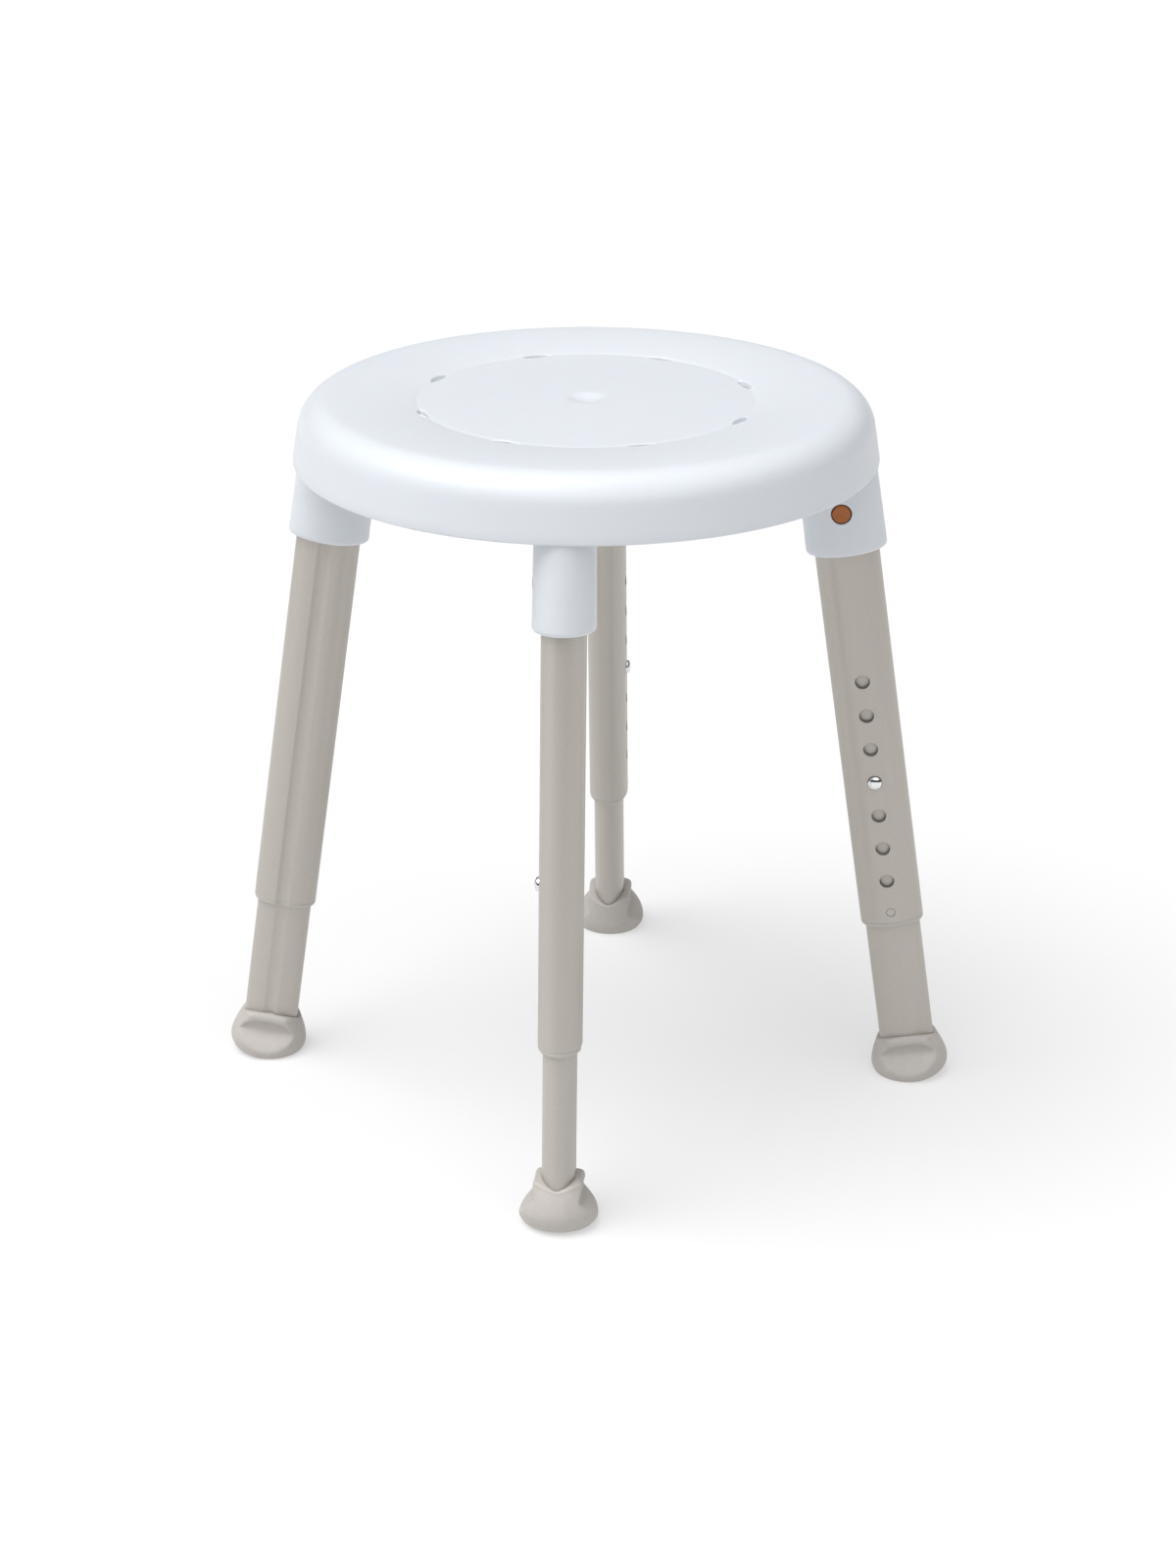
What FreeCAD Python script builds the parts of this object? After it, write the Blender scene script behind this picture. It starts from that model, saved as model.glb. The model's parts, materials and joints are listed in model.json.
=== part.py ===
import FreeCAD, Part
import math
import os
import re
import Sketcher
from FreeCAD import Placement, Rotation, Vector

# Round shower stool with four splayed, height-adjustable legs.
#
# Frame: millimetres, +Z up, origin on the floor under the middle of the seat.
# The four legs stand on -Y (front), +X (right), +Y (back) and -X (left).
# Leg frame: origin where the leg's axis meets the floor, Z up the axis,
# X away from the middle of the stool, Y along the seat's edge.
# Every height whose alias starts with "leg_" is measured up the leg's axis.

SIZES = {
    # Seat: one moulding with a shallow dish, a rounded edge and a skirt.
    "seat_rim_radius": 197.3,
    "seat_rim_height": 454.3,
    "seat_crown_radius": 171.8,
    "seat_crown_height": 496.7,
    "seat_valley_radius": 113.3,
    "seat_valley_height": 493.0,
    "seat_middle_height": 494.0,
    "seat_edge_round": 22,
    "seat_skirt_draft": 9,
    "seat_rim_round": 2,
    "seat_wall": 3,
    "slot_width": 5.2,
    "slot_sweep": 7,
    "slot_end_round": 2.61,
    "slot_count": 8,
    "dimple_ball": 60,
    "dimple_sink": 1.2,
    "rib_wall": 2.5,
    "rib_bottom_height": 483.5,
    "rib_ring_radius": 138,
    "hub_radius": 24,
    # Leg axis.
    "foot_circle_radius": 234.5,
    "leg_splay": 8.34,
    # Sockets under the seat, with the stop that each tube rests on.
    "socket_half_width": 27.7,
    "socket_half_depth": 20.6,
    "socket_draft": 1.4,
    "socket_round": 2.5,
    "leg_socket_mouth": 396.4,
    "leg_socket_top": 500,
    "leg_pocket_top": 489,
    "pocket_half_width": 18.5,
    "pocket_half_depth": 11,
    "fit_gap": 0.1,
    # How far cutting tools run past what they cut, and across a leg.
    "cut_past": 2,
    "cross_reach": 20,
    # Outer tube, an oval with a shallow channel along one flat side.
    "outer_half_width": 22,
    "outer_half_depth": 14.7,
    "outer_wall": 1.8,
    "channel_axis": 19.2,
    "channel_radius": 7,
    "leg_outer_bottom": 121.6,
    "leg_outer_top": 472.6,
    "leg_first_hole": 154.4,
    "hole_pitch": 25,
    "hole_radius": 5.1,
    "leg_peg": 130.2,
    "peg_radius": 3,
    "peg_length": 3,
    "peg_recess": 0.1,
    # Bush in the lower end of the outer tube.
    "bush_sleeve": 21,
    "bush_lip": 3.5,
    "bush_lip_round": 2.9,
    "slide_gap": 0.3,
    # Inner tube, with the guide in its upper end.
    "inner_half_width": 19.15,
    "inner_half_depth": 11.3,
    "inner_channel_radius": 9.4,
    "inner_wall": 1.6,
    "leg_inner_bottom": 9.5,
    "leg_inner_top": 309.6,
    "guide_collar": 12,
    "guide_plug": 15,
    "guide_hole_half_width": 13,
    "guide_hole_half_depth": 6,
    # Height button, the domed pin in the middle hole, and its leaf spring.
    "leg_height_button": 229.4,
    "height_button_radius": 4.9,
    "height_button_tip": 17.7,
    "height_button_dome": 5,
    "height_button_flat_radius": 0.6,
    "height_button_shoulder": 15.4,
    "height_button_flange_radius": 5.6,
    "height_button_flange_front": 8.9,
    "height_button_flange_back": 7.9,
    "leaf_width": 8,
    "leaf_strip": 0.8,
    "leaf_above": 6,
    "leaf_straight": 12,
    "leaf_length": 48,
    "leaf_fold_outside": 1.2,
    "leaf_fold_inside": 0.4,
    "leaf_fold_round": 1.21,
    "leaf_fold_rise": 0.32,
    # Lock button, which holds the leg in its socket, its spring and its plug.
    "leg_lock": 427,
    "lock_button_radius": 6.2,
    "lock_hole_radius": 6.8,
    "lock_button_face": 19.9,
    "lock_button_edge": 0.8,
    "lock_flange_radius": 7.8,
    "lock_flange_front": 11.6,
    "lock_flange_back": 9.6,
    "lock_bore_radius": 8.1,
    "lock_bore_end": 5,
    "lock_plug_below": 29,
    "lock_plug_above": 39,
    "lock_plug_floor": 3,
    "coil_radius": 5,
    "coil_wire_radius": 0.45,
    "coil_pitch": 2.6,
    # Foot, a soft moulding in line with the leg, with a level sole.
    "foot_widest_radius": 27.2,
    "leg_foot_widest": 9.4,
    "leg_foot_underside": -2.5,
    "foot_underside_radius": 16.5,
    "foot_taper": 0.08,
    "foot_top_height": 33,
    "foot_top_round": 44,
    "foot_neck_half_depth": 15.6,
    "foot_shoulder_height": 16.8,
    "foot_shoulder_round": 22,
    "foot_shoulder_foot": 2,
    "foot_room": 60,
}

LEGS = {"front": -90, "right": 0, "back": 90, "left": 180}
HOLES_PER_LEG = 7
RIB_COUNT = 4
FOOT_SECTIONS = 9
FOOT_SECTION_BIAS = 1.2
FOOT_TAPER_POWER = 1.5
BIG = 300
NEAR = 0.01

doc = FreeCAD.newDocument("shower_stool")
subparts = []


# ---- helpers ---------------------------------------------------------------

def make_sheet():
    sheet = doc.addObject("Spreadsheet::Sheet", "Sizes")
    for row, (alias, value) in enumerate(SIZES.items(), start=1):
        sheet.set(f"A{row}", alias)
        sheet.set(f"B{row}", str(value))
        sheet.setAlias(f"B{row}", alias)
    doc.recompute()
    return sheet


sheet = make_sheet()


def size(alias):
    return float(sheet.get(alias))


def linked(text):
    """Turn every alias in an expression into a reference to the sheet."""
    def refer(match):
        word = match[0]
        return "Sizes." + word if word in SIZES else word
    return re.sub(r"[a-z]\w*", refer, text)


def bind(thing, **expressions):
    for name, text in expressions.items():
        thing.setExpression(name, linked(text))


def put(thing, x="0", y="0", z="0", turn=Rotation()):
    """Place a feature at expressions of the sheet, turned by a fixed rotation."""
    thing.Placement = Placement(Vector(), turn)
    for axis, text in zip("xyz", (x, y, z)):
        thing.setExpression(".Placement.Base." + axis, linked(text))
    return thing


def value_of(text):
    result = sheet.evalExpression(linked(text))
    return float(getattr(result, "Value", result))


def combine(kind, name, shapes):
    thing = doc.addObject(kind, name)
    thing.Shapes = shapes
    return thing


def fuse(name, *shapes):
    return combine("Part::MultiFuse", name, list(shapes))


def common(name, *shapes):
    return combine("Part::MultiCommon", name, list(shapes))


def cut(name, base, *tools):
    thing = doc.addObject("Part::Cut", name)
    thing.Base = base
    thing.Tool = tools[0] if len(tools) == 1 else fuse(name + "_tools", *tools)
    return thing


def oval(name, half_width, half_depth, height):
    thing = doc.addObject("Part::Ellipse", name)
    bind(thing, MajorRadius=half_width, MinorRadius=half_depth)
    return put(thing, z=height)


def oval_bar(name, half_width, half_depth, bottom, top):
    bar = doc.addObject("Part::Extrusion", name)
    bar.Base = oval(name + "_oval", half_width, half_depth, bottom)
    bar.Dir = Vector(0, 0, 1)
    bar.Solid = True
    bind(bar, LengthFwd=f"({top}) - ({bottom})")
    return bar


def round_bar(name, radius, bottom, top, y="channel_axis"):
    bar = doc.addObject("Part::Cylinder", name)
    bind(bar, Radius=radius, Height=f"({top}) - ({bottom})")
    return put(bar, y=y, z=bottom)


def channelled_bar(name, half_width, half_depth, channel, bottom, top):
    """An oval bar with the round channel along its +Y side."""
    return cut(
        name,
        oval_bar(name + "_bar", half_width, half_depth, bottom, top),
        round_bar(name + "_channel", channel, f"({bottom}) - cut_past",
                  f"({top}) + cut_past"),
    )


def cross_bar(name, radius, height, start, length):
    """A round bar along +Y, for holes and pegs through a flat side."""
    bar = doc.addObject("Part::Cylinder", name)
    bind(bar, Radius=radius, Height=length)
    return put(bar, y=start, z=height, turn=Rotation(Vector(1, 0, 0), -90))


def origin_part(body, role):
    """A body's own origin plane or axis, such as XY_Plane or Z_Axis."""
    return next(f for f in body.Origin.OriginFeatures if f.Role == role)


def new_sketch(body, name, role):
    sketch = body.newObject("Sketcher::SketchObject", name)
    sketch.AttachmentSupport = [(origin_part(body, role), "")]
    sketch.MapMode = "FlatFace"
    return sketch


def pin(sketch, geometry, vertex, across, up):
    """Hold one point of a sketch at expressions of the sheet."""
    for kind, text in (("DistanceX", across), ("DistanceY", up)):
        amount = value_of(text)
        index = sketch.addConstraint(
            Sketcher.Constraint(kind, -1, 1, geometry, vertex, amount))
        sketch.setExpression(f"Constraints[{index}]", linked(text))


def arc_between(start, end, radius, side):
    """The short arc from start to end, with its centre on that side of the way."""
    along = end - start
    to_left = Vector(-along.y, along.x, 0).normalize()
    reach = math.sqrt(radius ** 2 - (along.Length / 2) ** 2)
    centre = (start + end) / 2 + to_left * (reach if side == "left" else -reach)
    first, last = (start, end) if side == "left" else (end, start)
    angles = [math.atan2(p.y - centre.y, p.x - centre.x) for p in (first, last)]
    return Part.ArcOfCircle(Part.Circle(centre, Vector(0, 0, 1), radius), *angles)


def draw_outline(sketch, corners):
    """Close an outline. A corner is (across, up), or (across, up, side, radius)
    when an arc leads from it to the next corner."""
    places = [Vector(value_of(c[0]), value_of(c[1]), 0) for c in corners]
    ends = []
    for here, corner in enumerate(corners):
        start, end = places[here], places[(here + 1) % len(corners)]
        if len(corner) == 2:
            line = sketch.addGeometry(Part.LineSegment(start, end), False)
            ends.append((line, 1, 2))
            continue
        side, radius = corner[2:]
        arc = sketch.addGeometry(arc_between(start, end, value_of(radius), side), False)
        ends.append((arc, 1, 2) if side == "left" else (arc, 2, 1))
        index = sketch.addConstraint(Sketcher.Constraint("Radius", arc, value_of(radius)))
        sketch.setExpression(f"Constraints[{index}]", linked(radius))
    for here, corner in enumerate(corners):
        line, first, _ = ends[here]
        before, _, last = ends[here - 1]
        sketch.addConstraint(Sketcher.Constraint("Coincident", before, last, line, first))
        pin(sketch, line, first, corner[0], corner[1])


def turned_body(name, corners, role="XZ_Plane"):
    """A body revolved about the vertical axis of its sketch."""
    body = doc.addObject("PartDesign::Body", name)
    sketch = new_sketch(body, name + "_outline", role)
    draw_outline(sketch, corners)
    turn = body.newObject("PartDesign::Revolution", name + "_turn")
    turn.Profile = sketch
    turn.ReferenceAxis = (sketch, ["V_Axis"])
    turn.Angle = 360
    return body


def padded_body(name, corners, role, length):
    """A body whose outline is padded evenly to both sides of its plane."""
    body = doc.addObject("PartDesign::Body", name)
    sketch = new_sketch(body, name + "_outline", role)
    draw_outline(sketch, corners)
    pad = body.newObject("PartDesign::Pad", name + "_pad")
    pad.Profile = sketch
    pad.Midplane = True
    bind(pad, Length=length)
    return body


def round_edges(name, base, radius, picked):
    """Fillet the edges of a feature that picked() chooses by their shape."""
    doc.recompute()
    amount = value_of(radius)
    chosen = [i for i, edge in enumerate(base.Shape.Edges, start=1) if picked(edge)]
    fillet = doc.addObject("Part::Fillet", name)
    fillet.Base = base
    fillet.Edges = [(i, amount, amount) for i in chosen]
    return fillet


def keep(thing, label, place=Placement()):
    """Mark a feature as a finished sub-part of the stool."""
    thing.Label = label
    thing.Placement = place
    subparts.append(thing)


def leg_frame(angle):
    place = Vector(size("foot_circle_radius"), 0, 0)
    turn = Rotation(Vector(0, 0, 1), angle)
    lean = Rotation(Vector(0, 1, 0), -size("leg_splay"))
    return Placement(turn.multVec(place), turn.multiply(lean))


# ---- seat ------------------------------------------------------------------

def tangent_point(radius):
    """Where the rounded edge of the seat runs into the drafted skirt."""
    across = f"seat_crown_radius + ({radius}) * cos(seat_skirt_draft * 1deg)"
    up = f"seat_crown_height - seat_edge_round + ({radius}) * sin(seat_skirt_draft * 1deg)"
    return across, up


def seat_shell():
    """Deck, rounded edge and skirt, with the drain slots round the dish."""
    inner_round = "seat_edge_round - seat_wall"
    return turned_body("seat_shell", [
        ("0", "seat_middle_height"),
        ("seat_valley_radius", "seat_valley_height"),
        ("seat_crown_radius", "seat_crown_height", "right", "seat_edge_round"),
        tangent_point("seat_edge_round"),
        ("seat_rim_radius", "seat_rim_height + seat_rim_round", "right", "seat_rim_round"),
        ("seat_rim_radius - seat_rim_round", "seat_rim_height"),
        ("seat_rim_radius - seat_wall", "seat_rim_height"),
        (*tangent_point(inner_round), "left", inner_round),
        ("seat_crown_radius", "seat_crown_height - seat_wall"),
        ("seat_valley_radius", "seat_valley_height - seat_wall"),
        ("0", "seat_valley_height - seat_wall"),
    ])


def drain_slots(body):
    """Round-ended slots that follow the lowest ring of the dish."""
    sketch = new_sketch(body, "slot_outline", "XY_Plane")
    half = "cos(slot_sweep * 0.5deg)"
    rise = "sin(slot_sweep * 0.5deg)"
    inner = "(seat_valley_radius - slot_width / 2)"
    outer = "(seat_valley_radius + slot_width / 2)"
    draw_outline(sketch, [
        (f"{inner} * {half}", f"{inner} * {rise}", "right", inner),
        (f"{inner} * {half}", f"-{inner} * {rise}", "left", "slot_end_round"),
        (f"{outer} * {half}", f"-{outer} * {rise}", "left", outer),
        (f"{outer} * {half}", f"{outer} * {rise}", "left", "slot_end_round"),
    ])
    pocket = body.newObject("PartDesign::Pocket", "slot")
    pocket.Profile = sketch
    pocket.Type = "ThroughAll"
    pocket.Midplane = True
    pattern = body.newObject("PartDesign::PolarPattern", "slots")
    pattern.Originals = [pocket]
    pattern.Axis = (origin_part(body, "Z_Axis"), [""])
    pattern.Angle = 360
    pattern.Occurrences = int(size("slot_count"))
    body.Tip = pattern
    put(body, turn=Rotation(Vector(0, 0, 1), 180 / size("slot_count")))
    return body


def under_deck():
    """All the room below the middle of the seat's wall, for trimming what
    stands inside the seat."""
    half_wall = "seat_wall / 2"
    return turned_body("under_deck", [
        ("0", f"seat_valley_height - {half_wall}"),
        ("0", "0"),
        (str(BIG), "0"),
        (str(BIG), "seat_rim_height"),
        (f"seat_rim_radius - {half_wall}", "seat_rim_height"),
        (*tangent_point(f"seat_edge_round - {half_wall}"), "left",
         f"seat_edge_round - {half_wall}"),
        ("seat_crown_radius", f"seat_crown_height - {half_wall}"),
        ("seat_valley_radius", f"seat_valley_height - {half_wall}"),
    ])


def seat_ribs():
    """Cross ribs and two rings that stiffen the deck from below."""
    ribs = []
    for step in range(RIB_COUNT):
        rib = doc.addObject("Part::Box", f"rib_{step}")
        bind(rib, Length="2 * seat_rim_radius", Width="rib_wall",
             Height="seat_crown_height - rib_bottom_height")
        turn = Rotation(Vector(0, 0, 1), 180 / RIB_COUNT * step)
        corner = turn.multVec(Vector(-size("seat_rim_radius"), -size("rib_wall") / 2, 0))
        rib.Placement = Placement(corner, turn)
        rib.setExpression(".Placement.Base.z", linked("rib_bottom_height"))
        ribs.append(rib)
    for name, radius in (("rib_ring", "rib_ring_radius"), ("rib_hub", "hub_radius")):
        ring = round_bar(name + "_outside", radius, "rib_bottom_height",
                         "seat_crown_height", y="0")
        hole = round_bar(name + "_inside", f"{radius} - rib_wall", "rib_bottom_height - cut_past",
                         "seat_crown_height + cut_past", y="0")
        ribs.append(cut(name, ring, hole))
    return ribs


def is_mouth_edge(edge):
    """True for the edge round the lower end of an upright bar."""
    low, high = edge.BoundBox.ZMin, edge.BoundBox.ZMax
    return high - low < NEAR and abs(low - size("leg_socket_mouth")) < NEAR


def seat_socket(side, angle):
    """One drafted oval socket, rounded at its mouth."""
    mouth = oval(f"socket_mouth_{side}", "socket_half_width", "socket_half_depth",
                 "leg_socket_mouth")
    head = oval(f"socket_head_{side}", "socket_half_width - socket_draft",
                "socket_half_depth - socket_draft", "leg_socket_top")
    block = doc.addObject("Part::Loft", f"socket_block_{side}")
    block.Sections = [mouth, head]
    block.Solid = True
    rounded = round_edges(f"socket_{side}", block, "socket_round", is_mouth_edge)
    rounded.Placement = leg_frame(angle)
    return rounded


def socket_bore(side, angle):
    """Room for the tube, the smaller pocket over its stop, and the lock hole."""
    tube_room = oval_bar(f"tube_room_{side}", "outer_half_width + fit_gap",
                         "outer_half_depth + fit_gap", "leg_socket_mouth - cut_past",
                         "leg_outer_top + fit_gap")
    pocket = oval_bar(f"pocket_{side}", "pocket_half_width", "pocket_half_depth",
                      "leg_outer_top - cut_past", "leg_pocket_top")
    lock_hole = cross_bar(f"lock_hole_{side}", "lock_hole_radius", "leg_lock",
                          "-1.5 * cross_reach", "1.5 * cross_reach")
    bore = fuse(f"socket_bore_{side}", tube_room, pocket, lock_hole)
    bore.Placement = leg_frame(angle)
    return bore


def make_seat():
    shell = drain_slots(seat_shell())
    sockets = [seat_socket(side, angle) for side, angle in LEGS.items()]
    inside = common("seat_inside", fuse("seat_stiffening", *sockets, *seat_ribs()),
                    under_deck())
    dimple = doc.addObject("Part::Sphere", "dimple")
    bind(dimple, Radius="dimple_ball")
    put(dimple, z="seat_middle_height - dimple_sink + dimple_ball")
    bores = [socket_bore(side, angle) for side, angle in LEGS.items()]
    keep(cut("seat_moulding", fuse("seat_body", shell, inside), dimple, *bores), "seat")


# ---- legs ------------------------------------------------------------------

def make_outer_tube(side, place):
    name = f"outer_tube_{side}"
    wall = channelled_bar(name + "_outside", "outer_half_width", "outer_half_depth",
                          "channel_radius", "leg_outer_bottom", "leg_outer_top")
    room = channelled_bar(name + "_inside", "outer_half_width - outer_wall",
                          "outer_half_depth - outer_wall", "channel_radius + outer_wall",
                          "leg_outer_bottom - cut_past", "leg_outer_top + cut_past")
    holes = [
        cross_bar(f"{name}_hole_{step}", "hole_radius",
                  f"leg_first_hole + {step} * hole_pitch", "-cross_reach", "cross_reach")
        for step in range(HOLES_PER_LEG)
    ]
    for what, radius, height in (("peg", "peg_radius + fit_gap", "leg_peg"),
                                 ("lock", "lock_hole_radius", "leg_lock")):
        holes.append(cross_bar(f"{name}_{what}_hole", radius, height, "-cross_reach",
                               "cross_reach"))
    keep(cut(name, wall, room, *holes), name, place)


def make_tube_bush(side, place):
    """A sleeve pressed into the tube's end, with a rounded lip and a snap peg."""
    name = f"tube_bush_{side}"
    sleeve = channelled_bar(name + "_sleeve", "outer_half_width - outer_wall - fit_gap",
                            "outer_half_depth - outer_wall - fit_gap",
                            "channel_radius + outer_wall + fit_gap",
                            "leg_outer_bottom", "leg_outer_bottom + bush_sleeve")
    lip_bar = oval_bar(name + "_lip_bar", "outer_half_width", "outer_half_depth",
                       "leg_outer_bottom - bush_lip", "leg_outer_bottom")
    lip_end = size("leg_outer_bottom") - size("bush_lip")
    lip = round_edges(name + "_lip", lip_bar, "bush_lip_round",
                      lambda edge: abs(edge.BoundBox.ZMax - lip_end) < NEAR)
    channel = round_bar(name + "_channel", "channel_radius",
                        "leg_outer_bottom - bush_lip - cut_past",
                        "leg_outer_bottom + cut_past")
    peg = cross_bar(name + "_peg", "peg_radius", "leg_peg", "peg_recess - outer_half_depth",
                    "peg_length")
    room = channelled_bar(name + "_inside", "inner_half_width + slide_gap",
                          "inner_half_depth + slide_gap",
                          "inner_channel_radius - slide_gap",
                          "leg_outer_bottom - bush_lip - cut_past",
                          "leg_outer_bottom + bush_sleeve + cut_past")
    keep(cut(name, fuse(name + "_solid", sleeve, cut(name + "_rim", lip, channel), peg), room),
         name, place)


def make_inner_tube(side, place):
    name = f"inner_tube_{side}"
    wall = channelled_bar(name + "_outside", "inner_half_width", "inner_half_depth",
                          "inner_channel_radius", "leg_inner_bottom", "leg_inner_top")
    room = channelled_bar(name + "_inside", "inner_half_width - inner_wall",
                          "inner_half_depth - inner_wall",
                          "inner_channel_radius + inner_wall",
                          "leg_inner_bottom - cut_past", "leg_inner_top + cut_past")
    hole = cross_bar(name + "_hole", "height_button_radius + fit_gap", "leg_height_button",
                     "-cross_reach", "cross_reach")
    keep(cut(name, wall, room, hole), name, place)


def make_inner_guide(side, place):
    """A plastic collar on the inner tube that runs inside the outer tube."""
    name = f"inner_guide_{side}"
    collar = channelled_bar(name + "_collar", "outer_half_width - outer_wall - slide_gap",
                            "outer_half_depth - outer_wall - slide_gap",
                            "channel_radius + outer_wall + slide_gap",
                            "leg_inner_top", "leg_inner_top + guide_collar")
    plug = channelled_bar(name + "_plug", "inner_half_width - inner_wall - fit_gap",
                          "inner_half_depth - inner_wall - fit_gap",
                          "inner_channel_radius + inner_wall + fit_gap",
                          "leg_inner_top - guide_plug", "leg_inner_top")
    hole = oval_bar(name + "_hole", "guide_hole_half_width", "guide_hole_half_depth",
                    "leg_inner_top - guide_plug - cut_past",
                    "leg_inner_top + guide_collar + cut_past")
    keep(cut(name, fuse(name + "_solid", collar, plug), hole), name, place)


def make_height_button(side, place):
    """The domed pin: its axis is the sketch's vertical, laid along -Y."""
    name = f"height_button_{side}"
    body = turned_body(name, [
        ("0", "height_button_flange_back"),
        ("height_button_flange_radius", "height_button_flange_back"),
        ("height_button_flange_radius", "height_button_flange_front"),
        ("height_button_radius", "height_button_flange_front"),
        ("height_button_radius", "height_button_shoulder", "left", "height_button_dome"),
        ("height_button_flat_radius", "height_button_tip"),
        ("0", "height_button_tip"),
    ])
    lay = Placement(Vector(0, 0, size("leg_height_button")), Rotation(Vector(1, 0, 0), 90))
    keep(body, name, place.multiply(lay))


def make_height_spring(side, place):
    """A leaf spring bent to a V, behind the height button."""
    name = f"height_spring_{side}"
    top = "leg_height_button + leaf_above"
    knee = "leg_height_button - leaf_straight"
    bend = "leg_height_button - leaf_length"
    reach = "height_button_flange_back"
    inner = f"{reach} - leaf_strip"
    body = padded_body(name, [
        (f"-({reach})", top),
        (f"-({reach})", knee),
        ("-leaf_fold_outside", bend, "left", "leaf_fold_round"),
        ("leaf_fold_outside", bend),
        (reach, knee),
        (reach, top),
        (inner, top),
        (inner, knee),
        ("leaf_fold_inside", f"{bend} + leaf_fold_rise"),
        ("-leaf_fold_inside", f"{bend} + leaf_fold_rise"),
        (f"-({inner})", knee),
        (f"-({inner})", top),
    ], "YZ_Plane", "leaf_width")
    keep(body, name, place)


def make_lock_plug(side, place):
    """The plug in the tube's upper end that houses the lock button."""
    name = f"lock_plug_{side}"
    block = channelled_bar(name + "_block", "outer_half_width - outer_wall - fit_gap",
                           "outer_half_depth - outer_wall - fit_gap",
                           "channel_radius + outer_wall + fit_gap",
                           "leg_lock - lock_plug_below", "leg_lock + lock_plug_above")
    bore = cross_bar(name + "_bore", "lock_bore_radius", "leg_lock", "-cross_reach",
                     "cross_reach + lock_bore_end")
    core = oval_bar(name + "_core", "guide_hole_half_width", "guide_hole_half_depth",
                    "leg_lock - lock_plug_below - cut_past",
                    "leg_lock - lock_bore_radius - lock_plug_floor")
    keep(cut(name, block, bore, core), name, place)


def make_lock_button(side, place):
    name = f"lock_button_{side}"
    body = turned_body(name, [
        ("0", "lock_flange_back"),
        ("lock_flange_radius", "lock_flange_back"),
        ("lock_flange_radius", "lock_flange_front"),
        ("lock_button_radius", "lock_flange_front"),
        ("lock_button_radius", "lock_button_face - lock_button_edge", "left",
         "lock_button_edge"),
        ("lock_button_radius - lock_button_edge", "lock_button_face"),
        ("0", "lock_button_face"),
    ])
    lay = Placement(Vector(0, 0, size("leg_lock")), Rotation(Vector(1, 0, 0), 90))
    keep(body, name, place.multiply(lay))


def make_lock_spring(side, place):
    """The coil between the lock button's flange and the end of its bore."""
    name = f"lock_spring_{side}"
    body = doc.addObject("PartDesign::Body", name)
    sketch = new_sketch(body, name + "_wire", "XZ_Plane")
    wire = sketch.addGeometry(
        Part.Circle(Vector(size("coil_radius"), 0, 0), Vector(0, 0, 1),
                    size("coil_wire_radius")), False)
    pin(sketch, wire, 3, "coil_radius", "0")
    index = sketch.addConstraint(Sketcher.Constraint("Radius", wire, size("coil_wire_radius")))
    sketch.setExpression(f"Constraints[{index}]", "Sizes.coil_wire_radius")
    coil = body.newObject("PartDesign::AdditiveHelix", name + "_coil")
    coil.Profile = sketch
    coil.ReferenceAxis = (sketch, ["V_Axis"])
    coil.Mode = "pitch-height-angle"
    bind(coil, Pitch="coil_pitch",
         Height="lock_flange_back + lock_bore_end - 4 * coil_wire_radius")
    start = size("lock_flange_back") - 2 * size("coil_wire_radius")
    lay = Placement(Vector(0, -start, size("leg_lock")), Rotation(Vector(1, 0, 0), -90))
    keep(body, name, place.multiply(lay))


def foot_radius(height):
    """Radius of the foot's body at this height up the leg: a rounded underside,
    then a flank that tapers towards the tube."""
    widest = size("foot_widest_radius")
    rise = height - size("leg_foot_widest")
    if rise >= 0:
        return widest - size("foot_taper") * rise ** FOOT_TAPER_POWER
    drop = rise / (size("leg_foot_widest") - size("leg_foot_underside"))
    curl = widest - size("foot_underside_radius")
    return widest - curl * (1 - math.sqrt(max(1 - drop ** 2, 0)))


def foot_body(name):
    """Round sections square to the leg, from below the floor to above the neck."""
    bottom = size("leg_foot_underside")
    span = size("foot_top_height") + size("cut_past") - bottom
    sections = []
    for step in range(FOOT_SECTIONS):
        height = bottom + span * (step / (FOOT_SECTIONS - 1)) ** FOOT_SECTION_BIAS
        ring = doc.addObject("Part::Circle", f"{name}_ring_{step}")
        ring.Radius = foot_radius(height)
        ring.Placement.Base = Vector(0, 0, height)
        sections.append(ring)
    body = doc.addObject("Part::Loft", name + "_body")
    body.Sections = sections
    body.Solid = True
    return body


def foot_scoops(name):
    """What is cut off both sides, beside the neck and over the round flange."""
    body = padded_body(name + "_scoops", [
        ("foot_neck_half_depth", "foot_shoulder_height"),
        ("foot_neck_half_depth", str(BIG)),
        (str(BIG), str(BIG)),
        (str(BIG), "foot_shoulder_foot"),
        ("foot_widest_radius", "foot_shoulder_foot", "left", "foot_shoulder_round"),
    ], "YZ_Plane", str(BIG))
    mirror = body.newObject("PartDesign::Mirrored", name + "_mirror")
    mirror.Originals = [body.getObject(name + "_scoops_pad")]
    mirror.MirrorPlane = (origin_part(body, "XZ_Plane"), [""])
    body.Tip = mirror
    return body


def above_floor(name):
    """All the room above the floor, in the leg's own axes."""
    block = doc.addObject("Part::Box", name)
    block.Length = block.Width = block.Height = BIG
    turn = Rotation(Vector(0, 1, 0), size("leg_splay"))
    block.Placement = Placement(turn.multVec(Vector(-BIG / 2, -BIG / 2, 0)), turn)
    return block


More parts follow.
